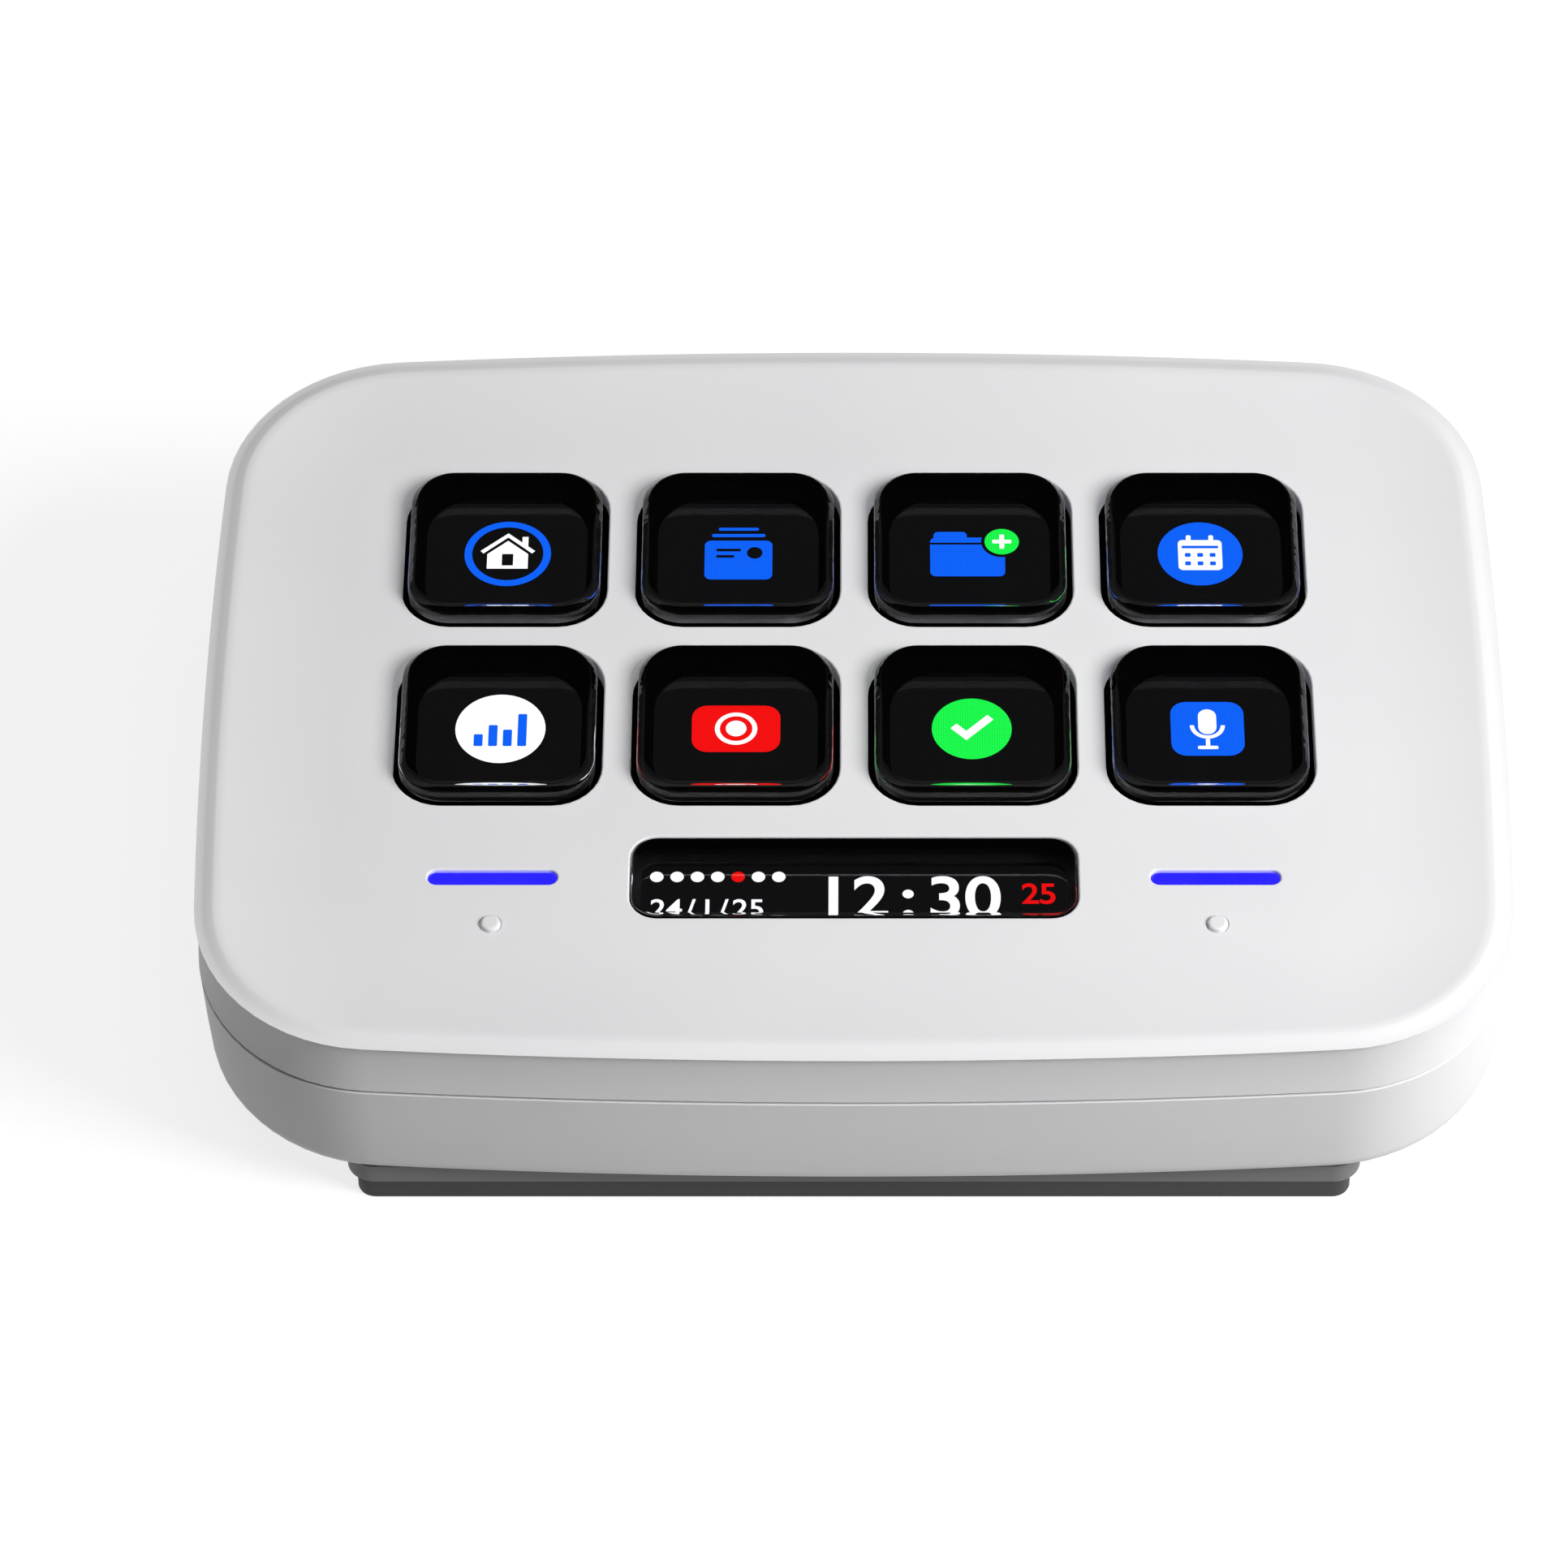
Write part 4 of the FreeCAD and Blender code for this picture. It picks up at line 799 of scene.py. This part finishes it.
class CapsOperator(bpy.types.Operator):
    """Mould the eight clear caps"""
    bl_idname = "keypad.caps"
    bl_label = "Clear caps"

    def execute(self, context):
        for number, u, v in key_places():
            mesh = bmesh.new()
            block(mesh, [ring(mesh, round_box(*shape, u, v, 12), level) for shape, level in self.profile()])
            print_hidden(mesh, CAP_FLANGE_TOP + 0.02, CORE_FOOT + 0.01, CAP_PRINT_TOP, 2)
            cap = into_piece(mesh, f"clear_cap_{number}", ["cap acrylic", "black print", "coated acrylic"])
            place_piece(cap, f"key_{number}", [f"key_cap_{number}"])
        return {"FINISHED"}

    def profile(self):
        """Shape and level of each row, from the core's foot up to the flat."""
        sizes = bpy.context.scene.keypad_keys
        cap = (sizes.cap, sizes.cap, sizes.cap_round)
        rows = [(grown(CORE, -CORE_BEVEL), CORE_FOOT), (CORE, CORE_FOOT + CORE_BEVEL), (CORE, CAP_FOOT),
                (CAP_FLANGE, CAP_FOOT), (CAP_FLANGE, CAP_FLANGE_TOP), (cap, CAP_FLANGE_TOP),
                (cap, CAP_PRINT_TOP)]
        return rows + [(grown(cap, -inset), sizes.cap_top - drop) for inset, drop in CAP_SHOULDER]


# Silicone ring: width at its foot, how much narrower its top is, wall, bulge to the inside, and corner radii
RING_WIDTH = 17.3
RING_NARROWER = 0.6
RING_WALL = 0.95
RING_BULGE = 0.22
RING_CORNERS = (4.2, 3.4)
RING_CLEAR = 0.01


class RingsOperator(bpy.types.Operator):
    """Mould the silicone spring rings under the caps"""
    bl_idname = "keypad.rings"
    bl_label = "Silicone rings"

    def execute(self, context):
        tall = CAP_FOOT - LEDGE
        steps = 6
        for number, u, v in key_places():
            mesh = bmesh.new()
            outer, inner = [], []
            for i in range(steps + 1):
                t = i / steps
                level = LEDGE + RING_CLEAR + (tall - 2 * RING_CLEAR) * t
                width = RING_WIDTH - RING_NARROWER * t - 2 * RING_BULGE * math.sin(math.pi * t)
                hollow = width - 2 * RING_WALL
                outer.append(ring(mesh, round_box(width, width, RING_CORNERS[0], u, v), level))
                inner.append(ring(mesh, round_box(hollow, hollow, RING_CORNERS[1], u, v), level))
            skin(mesh, list(reversed(inner)) + outer + [inner[-1]])
            piece = into_piece(mesh, f"spring_ring_{number}", ["black silicone"])
            place_piece(piece, "housing", [f"key_dome_{number}"])
            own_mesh(piece)
        return {"FINISHED"}


# Lens and bars: gaps round them, how far their flanges reach out, levels of their tops, and roundings
LENS_GAP = 0.12
LENS_REACH = 0.75
LENS_PROUD = 0.14
BAR_GAP = 0.07
BAR_REACH = 0.45
BAR_FLANGE_ROUND = 0.4
BAR_SUNK = 0.1
TOP_ROUND = 0.3
LEAST_ROUND = 0.05
FLANGE_CLEAR = 0.01


class LensOperator(bpy.types.Operator):
    """Mould the window's clear lens and the two light bars"""
    bl_idname = "keypad.lens"
    bl_label = "Window and light bars"

    def execute(self, context):
        mesh = bmesh.new()
        self.seated_block(mesh, grown(WINDOW, LENS_REACH), grown(WINDOW, -LENS_GAP), 0.0, PANEL + LENS_PROUD)
        print_hidden(mesh, FLANGE_TOP + 0.01, LEDGE + 0.02, PANEL - 0.1, 0)
        lens = into_piece(mesh, "window_lens", ["lens acrylic", "black print"])
        place_piece(lens, "housing", ["info_window"])
        flange = (*grown(BAR, BAR_REACH)[:2], BAR_FLANGE_ROUND)
        for name, side in (("left", -1), ("right", 1)):
            mesh = bmesh.new()
            self.seated_block(mesh, flange, grown(BAR, -BAR_GAP), BAR_COLUMN * side, PANEL - BAR_SUNK)
            bar = into_piece(mesh, f"bar_light_{name}", ["bar light"])
            place_piece(bar, "housing", [f"light_bar_{name}"])
        return {"FINISHED"}

    def seated_block(self, mesh, flange, body, u, top):
        """A flange under the plate and a body in its opening, with a rounded top edge."""
        rows = [(*flange, LEDGE + FLANGE_CLEAR), (*flange, FLANGE_TOP), (*body, FLANGE_TOP)]
        for angle in quarter_turn(5):
            width, depth, radius = grown(body, -TOP_ROUND * (1 - math.cos(angle)))
            rows.append((width, depth, max(radius, LEAST_ROUND),
                         top - TOP_ROUND + TOP_ROUND * math.sin(angle)))
        block(mesh, [ring(mesh, round_box(*shape, u, WINDOW_ROW), level) for *shape, level in rows])


# Grip pad: how much further forward it reaches than the plain solid, its corner, and its rounded foot as
# inset and level of each row
PAD_FORWARD = 0.7
PAD_CORNER = 1.5
PAD_FOOT = ((0.15, 0.0), (0.04, 0.04), (0.0, 0.15))


class PadOperator(bpy.types.Operator):
    """Mould the rubber grip pad under the foot"""
    bl_idname = "keypad.pad"
    bl_label = "Grip pad"

    def execute(self, context):
        low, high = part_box("grip_pad")
        width = (high[0] - low[0]) / MM
        back, front = high[1] / MM, low[1] / MM - PAD_FORWARD
        mesh = bmesh.new()
        rows = []
        for inset, level in PAD_FOOT + ((0.0, high[2] / MM),):
            outline = round_box(width - 2 * inset, back - front - 2 * inset, PAD_CORNER - inset,
                                0.0, (back + front) / 2)
            rows.append([mesh.verts.new(Vector((x, y, level)) * MM) for x, y in outline])
        plug(mesh, rows)
        pad = into_piece(mesh, "grip_sole", ["grip rubber"])
        place_piece(pad, "housing", ["grip_pad"])
        return {"FINISHED"}


# Pictures on the display

PIXEL_FINISHES = ["blue pixels", "green pixels", "red pixels", "white pixels", "dark pixels"]
BLUE, GREEN, RED, WHITE, DARK = range(5)
PICTURE_STEP = 0.012


def disc(u, v, radius, count=48):
    return [(u + radius * math.cos(2 * math.pi * i / count), v + radius * math.sin(2 * math.pi * i / count))
            for i in range(count)]


def card(u, v, width, depth, radius=0.3):
    return round_box(width, depth, radius, u, v, 5)


class Picture:
    """Flat lit shapes that are stacked in thin layers over one place of the display."""

    def __init__(self, u, v):
        self.mesh = bmesh.new()
        self.place = (u, v)
        self.layer = 1

    def stamp(self, colour, *outlines):
        """Lay each outline as one lit face, over everything laid before."""
        for outline in outlines:
            level = GLASS_TOP + PICTURE_STEP * self.layer
            moved = [(self.place[0] + u, self.place[1] + v) for u, v in outline]
            face = self.mesh.faces.new(ring(self.mesh, moved, level))
            face.material_index = colour
            turn_face(face)
        self.layer += 1


def draw_house(picture):
    picture.stamp(BLUE, disc(0, 0, 3.65))
    picture.stamp(DARK, disc(0, 0, 3.0))
    picture.stamp(WHITE, [(-2.3, 0.3), (-2.05, 0.02), (0, 1.84), (2.05, 0.02), (2.3, 0.3), (0, 2.3)],
                  [(-1.72, -0.05), (-1.72, -1.7), (1.72, -1.7), (1.72, -0.05), (0, 1.45)],
                  [(1.2, 0.95), (1.7, 0.5), (1.7, 1.9), (1.2, 1.9)])
    picture.stamp(DARK, card(0, -0.7, 0.95, 1.3, 0.05))


def draw_cards(picture):
    picture.stamp(BLUE, card(0, 2.8, 3.4, 0.34, 0.15), card(0, 2.08, 4.5, 0.36, 0.15),
                  card(0, -0.7, 5.7, 4.4, 0.55))
    picture.stamp(DARK, card(-0.85, 0.42, 2.1, 0.3, 0.14), card(-1.13, -0.3, 1.55, 0.3, 0.14),
                  disc(1.36, 0.1, 0.66))


def draw_folder(picture):
    picture.stamp(BLUE, card(-1.6, 1.75, 2.8, 1.5, 0.4), card(-0.15, -0.35, 6.3, 4.4, 0.5))
    picture.stamp(DARK, card(-0.15, 1.15, 6.3, 0.22, 0.05))
    picture.stamp(DARK, disc(2.75, 1.35, 1.75))
    picture.stamp(GREEN, disc(2.75, 1.35, 1.45))
    picture.stamp(WHITE, card(2.75, 1.35, 1.6, 0.4, 0.1), card(2.75, 1.35, 0.4, 1.6, 0.1))


def draw_calendar(picture):
    picture.stamp(BLUE, disc(0, 0, 3.58))
    picture.stamp(WHITE, card(0, -0.15, 3.7, 3.4, 0.4), card(-0.95, 1.7, 0.4, 0.8, 0.15),
                  card(0.95, 1.7, 0.4, 0.8, 0.15))
    picture.stamp(BLUE, card(0, 0.75, 3.1, 0.3, 0.1),
                  *[card(-1.05 + 1.05 * i, -0.15 - 0.95 * j, 0.5, 0.45, 0.1)
                    for i in range(3) for j in range(2)])


def draw_chart(picture):
    picture.stamp(WHITE, disc(0, 0, 3.72))
    picture.stamp(BLUE, *[card(-1.8 + 1.2 * i, -1.9 + tall / 2, 0.75, tall, 0.12)
                          for i, tall in enumerate((1.3, 2.3, 1.8, 3.5))])


def draw_record(picture):
    picture.stamp(RED, card(0, 0, 7.3, 5.05, 1.3))
    picture.stamp(WHITE, disc(0, 0, 1.75))
    picture.stamp(RED, disc(0, 0, 1.35))
    picture.stamp(WHITE, disc(0, 0, 0.85))


def draw_tick(picture):
    picture.stamp(GREEN, disc(0, 0, 3.3))
    picture.stamp(WHITE, [(-1.75, 0.05), (-1.25, 0.55), (-0.45, -0.25), (1.3, 1.5), (1.8, 1.0),
                          (-0.45, -1.25)])


def draw_microphone(picture):
    picture.stamp(BLUE, card(0, 0, 6.05, 5.85, 1.3))
    picture.stamp(WHITE, card(0, 0.75, 1.5, 2.7, 0.74))
    turns = [math.pi * (1 + i / 16) for i in range(17)]
    outer = [(1.45 * math.cos(a), 0.35 + 1.45 * math.sin(a)) for a in turns]
    inner = [(1.1 * math.cos(a), 0.35 + 1.1 * math.sin(a)) for a in reversed(turns)]
    picture.stamp(WHITE, outer + inner, card(0, -1.55, 0.35, 0.9, 0.1), card(0, -2.05, 1.7, 0.35, 0.15))


DRAWINGS = (draw_house, draw_cards, draw_folder, draw_calendar,
            draw_chart, draw_record, draw_tick, draw_microphone)


class PicturesOperator(bpy.types.Operator):
    """Light the eight pictures on the display, one under each key"""
    bl_idname = "keypad.pictures"
    bl_label = "Key pictures"

    def execute(self, context):
        shift = context.scene.keypad_display.picture_shift
        for number, u, v in key_places():
            picture = Picture(u, v + shift)
            DRAWINGS[number - 1](picture)
            piece = into_piece(picture.mesh, f"key_picture_{number}", PIXEL_FINISHES)
            place_piece(piece, "housing")
        return {"FINISHED"}


# Height of the digits for each unit of their size
CAPITAL = 0.729
# The small marks: first place and row from the window's middle, pitch and radius
PIP_START = -16.0
PIP_ROW = 2.3
PIP_PITCH = 1.65
PIP_RADIUS = 0.55


class ReadoutOperator(bpy.types.Operator):
    """Light the numbers and marks behind the window"""
    bl_idname = "keypad.readout"
    bl_label = "Window readout"

    def execute(self, context):
        self.number("12:30", (4.39, 0.3), 6.1, 3.03, "white pixels", "readout_time", 0.09)
        self.number("25", (15.0, 0.61), 3.0, 1.42, "red pixels", "readout_seconds", 0.04)
        self.number("24/1/25", (-11.86, -0.93), 2.65, 1.33, "white pixels", "readout_date", 0.03)
        self.pips("readout_days", (0, 1, 2, 3, 5, 6), "white pixels")
        self.pips("readout_today", (4,), "red pixels")
        return {"FINISHED"}

    def number(self, words, middle, size, pitch, finish, name, bolder):
        """Plain digits at an even pitch as a flat lit mesh; middle is measured from the window's middle."""
        mesh = bmesh.new()
        for i, letter in enumerate(words):
            curve = bpy.data.curves.new(name, "FONT")
            curve.body = letter
            curve.size = size
            curve.offset = bolder
            curve.align_x = "CENTER"
            curve.fill_mode = "FRONT"
            text = linked(name, curve)
            data = baked_mesh(text, name)
            bpy.data.objects.remove(text)
            u = middle[0] + pitch * (i - (len(words) - 1) / 2)
            foot = WINDOW_ROW + middle[1] - CAPITAL * size / 2
            data.transform(PANEL_PLACE @ Matrix.Translation((u, foot, GLASS_TOP + PICTURE_STEP)))
            mesh.from_mesh(data)
        place_piece(into_piece(mesh, name, [finish]), "housing")

    def pips(self, name, places, finish):
        """Some of the seven small marks for the days of a week."""
        points = [(PIP_START + PIP_PITCH * i, WINDOW_ROW + PIP_ROW, GLASS_TOP + PICTURE_STEP) for i in places]
        values = {"Radius": PIP_RADIUS * MM, "Finish": FINISHES[finish]}
        marks = on_points(name, points, pip_tree(name), values)
        place_piece(marks, "housing")


def on_points(name, places, tree, values):
    """An object with what the node tree puts on every place of the panel's frame."""
    mesh = bmesh.new()
    for place in places:
        mesh.verts.new(world(*place))
    thing = new_object(mesh, name)
    nodes = thing.modifiers.new("copies", "NODES")
    nodes.node_group = tree
    for item in tree.interface.items_tree:
        if item.item_type == "SOCKET" and item.in_out == "INPUT" and item.name in values:
            nodes[item.identifier] = values[item.name]
    bake(thing)
    return thing


def open_tree(name, inputs):
    """A geometry tree with named inputs, its input node and its output node."""
    tree = bpy.data.node_groups.new(name, "GeometryNodeTree")
    tree.interface.new_socket("Geometry", in_out="INPUT", socket_type="NodeSocketGeometry")
    for label in inputs:
        tree.interface.new_socket(label, in_out="INPUT", socket_type="NodeSocketFloat")
    tree.interface.new_socket("Finish", in_out="INPUT", socket_type="NodeSocketMaterial")
    tree.interface.new_socket("Geometry", in_out="OUTPUT", socket_type="NodeSocketGeometry")
    return tree, add(tree, "NodeGroupInput").outputs, add(tree, "NodeGroupOutput")


def close_tree(tree, piece, start, end):
    """Copy the piece to every point, square to the panel, give it its finish and end the tree."""
    copies = add(tree, "GeometryNodeInstanceOnPoints", {"Points": start["Geometry"], "Instance": piece,
                                                        "Rotation": (TILT, 0, 0)})
    solid = add(tree, "GeometryNodeRealizeInstances", {"Geometry": copies})
    painted = add(tree, "GeometryNodeSetMaterial", {"Geometry": solid, "Material": start["Finish"]})
    tree.links.new(painted.outputs["Geometry"], end.inputs["Geometry"])
    return tree


def pip_tree(name):
    """A small filled disc on every point, lying in the panel."""
    tree, start, end = open_tree(name, ["Radius"])
    pip = add(tree, "GeometryNodeMeshCircle", {"Vertices": 20, "Radius": start["Radius"]}, fill_type="NGON")
    return close_tree(tree, pip, start, end)


SCREW_SIZES = ["Head", "Head height", "Shank", "Length", "Recess"]
# How wide the slots of a screw's recess are, as a part of their length
SLOT_PART = 0.26


def screw_tree(name):
    """A screw on every point: shank, flat head and a cross recess that opens downward."""
    tree, start, end = open_tree(name, SCREW_SIZES)

    def shifted(thing, size, part):
        """The thing, moved up by a part of one of the sizes."""
        rise = add(tree, "ShaderNodeCombineXYZ", {"Z": maths(tree, "MULTIPLY", start[size], part)})
        return add(tree, "GeometryNodeTransform", {"Geometry": thing, "Translation": rise})

    def cylinder(count, radius, height):
        return add(tree, "GeometryNodeMeshCylinder", {"Vertices": count, "Side Segments": 1,
                                                      "Radius": start[radius], "Depth": start[height]})

    head = shifted(cylinder(40, "Head", "Head height"), "Head height", -0.5)
    shank = shifted(cylinder(24, "Shank", "Length"), "Length", 0.5)
    wide = start["Recess"]
    slim = maths(tree, "MULTIPLY", wide, SLOT_PART)
    carved = add(tree, "GeometryNodeMeshBoolean", {"Mesh 1": head}, operation="DIFFERENCE")
    for x, y in ((wide, slim), (slim, wide)):
        arm = add(tree, "ShaderNodeCombineXYZ", {"X": x, "Y": y, "Z": start["Head height"]})
        bar = shifted(add(tree, "GeometryNodeMeshCube", {"Size": arm}), "Head height", -1.0)
        tree.links.new(bar.outputs["Geometry"], carved.inputs["Mesh 2"])
    whole = add(tree, "GeometryNodeJoinGeometry")
    for part in (carved.outputs["Mesh"], shank.outputs["Geometry"]):
        tree.links.new(part, whole.inputs["Geometry"])
    return close_tree(tree, whole, start, end)


# Screws: level under each head, then head radius and height, shank radius and length, and recess
CASE_SCREW = (BODY_FOOT + 2.6, (2.28, 1.48, 1.2, 10.5, 2.6))
PLINTH_SCREW = (BODY_FOOT - 1.2, (1.78, 0.98, 0.9, 4.1, 2.0))


class ScrewsOperator(bpy.types.Operator):
    """Drive the case screws and the plinth screws"""
    bl_idname = "keypad.screws"
    bl_label = "Screws"

    def execute(self, context):
        self.drive("case_screw_heads", CASE_SCREW_PLACES, *CASE_SCREW, "case_screws")
        self.drive("plinth_screw_heads", PLINTH_SCREW_PLACES, *PLINTH_SCREW, "plinth_screws")
        return {"FINISHED"}

    def drive(self, name, places, seat, sizes, node):
        values = {label: size * MM for label, size in zip(SCREW_SIZES, sizes)}
        screws = on_points(name, [(u, v, seat) for u, v in places], screw_tree(name),
                           {**values, "Finish": FINISHES["zinc steel"]})
        place_piece(screws, "housing", [node])


# Finishes of the CAD nodes that stay
NODE_FINISHES = {
    "stand_plinth": "grey plinth",
    "key_frame": "black frame",
    "touch_pad_left": "copper foil",
    "touch_pad_right": "copper foil",
    "display_panel": "display glass",
    "backlight": "backlight foil",
    "display_tray": "sheet steel",
    "display_flex": "amber ribbon",
    "main_board": "board laminate",
    "board_chips": "chip epoxy",
    "usb_c_socket": "socket steel",
    "ballast_plate": "zinc steel",
}


class InsidesOperator(bpy.types.Operator):
    """Give the CAD nodes that stay their real finishes"""
    bl_idname = "keypad.insides"
    bl_label = "Finishes of the other parts"

    def execute(self, context):
        for name, finish in NODE_FINISHES.items():
            node = frame["nodes"][name]
            if not node.material_slots:
                node.data.materials.append(FINISHES[finish])
            for place in node.material_slots:
                place.material = FINISHES[finish]
        return {"FINISHED"}


class KeypadPanel(bpy.types.Panel):
    """The keypad's sizes, colours and pieces"""
    bl_idname = "KEYPAD_PT_sidebar"
    bl_label = "Display keypad"
    bl_space_type = "VIEW_3D"
    bl_region_type = "UI"
    bl_category = "Keypad"

    def draw(self, context):
        for place, group in GROUPS.items():
            column = self.layout.column(align=True)
            for name in group.__annotations__:
                column.prop(getattr(context.scene, place), name)
        for piece in PIECES:
            self.layout.operator(piece.bl_idname)


GROUPS = {"keypad_housing": HousingSizes, "keypad_keys": KeySizes, "keypad_display": DisplayColours,
          "keypad_stage": StageSettings}
PIECES = (StageOperator, CoverOperator, ShellOperator, PadOperator, CapsOperator, RingsOperator, LensOperator,
          PicturesOperator, ReadoutOperator, ScrewsOperator, InsidesOperator)


def register():
    for piece in (*GROUPS.values(), *PIECES, KeypadPanel):
        bpy.utils.register_class(piece)
    for place, group in GROUPS.items():
        setattr(bpy.types.Scene, place, bpy.props.PointerProperty(type=group))


def unregister():
    for place in GROUPS:
        delattr(bpy.types.Scene, place)
    for piece in reversed((*GROUPS.values(), *PIECES, KeypadPanel)):
        bpy.utils.unregister_class(piece)


def main():
    register()
    make_finishes()
    bpy.ops.keypad.stage()
    bpy.ops.keypad.cover()
    bpy.ops.keypad.shell()
    bpy.ops.keypad.pad()
    bpy.ops.keypad.caps()
    bpy.ops.keypad.rings()
    bpy.ops.keypad.lens()
    bpy.ops.keypad.pictures()
    bpy.ops.keypad.readout()
    bpy.ops.keypad.screws()
    bpy.ops.keypad.insides()


if __name__ == "__main__":
    main()
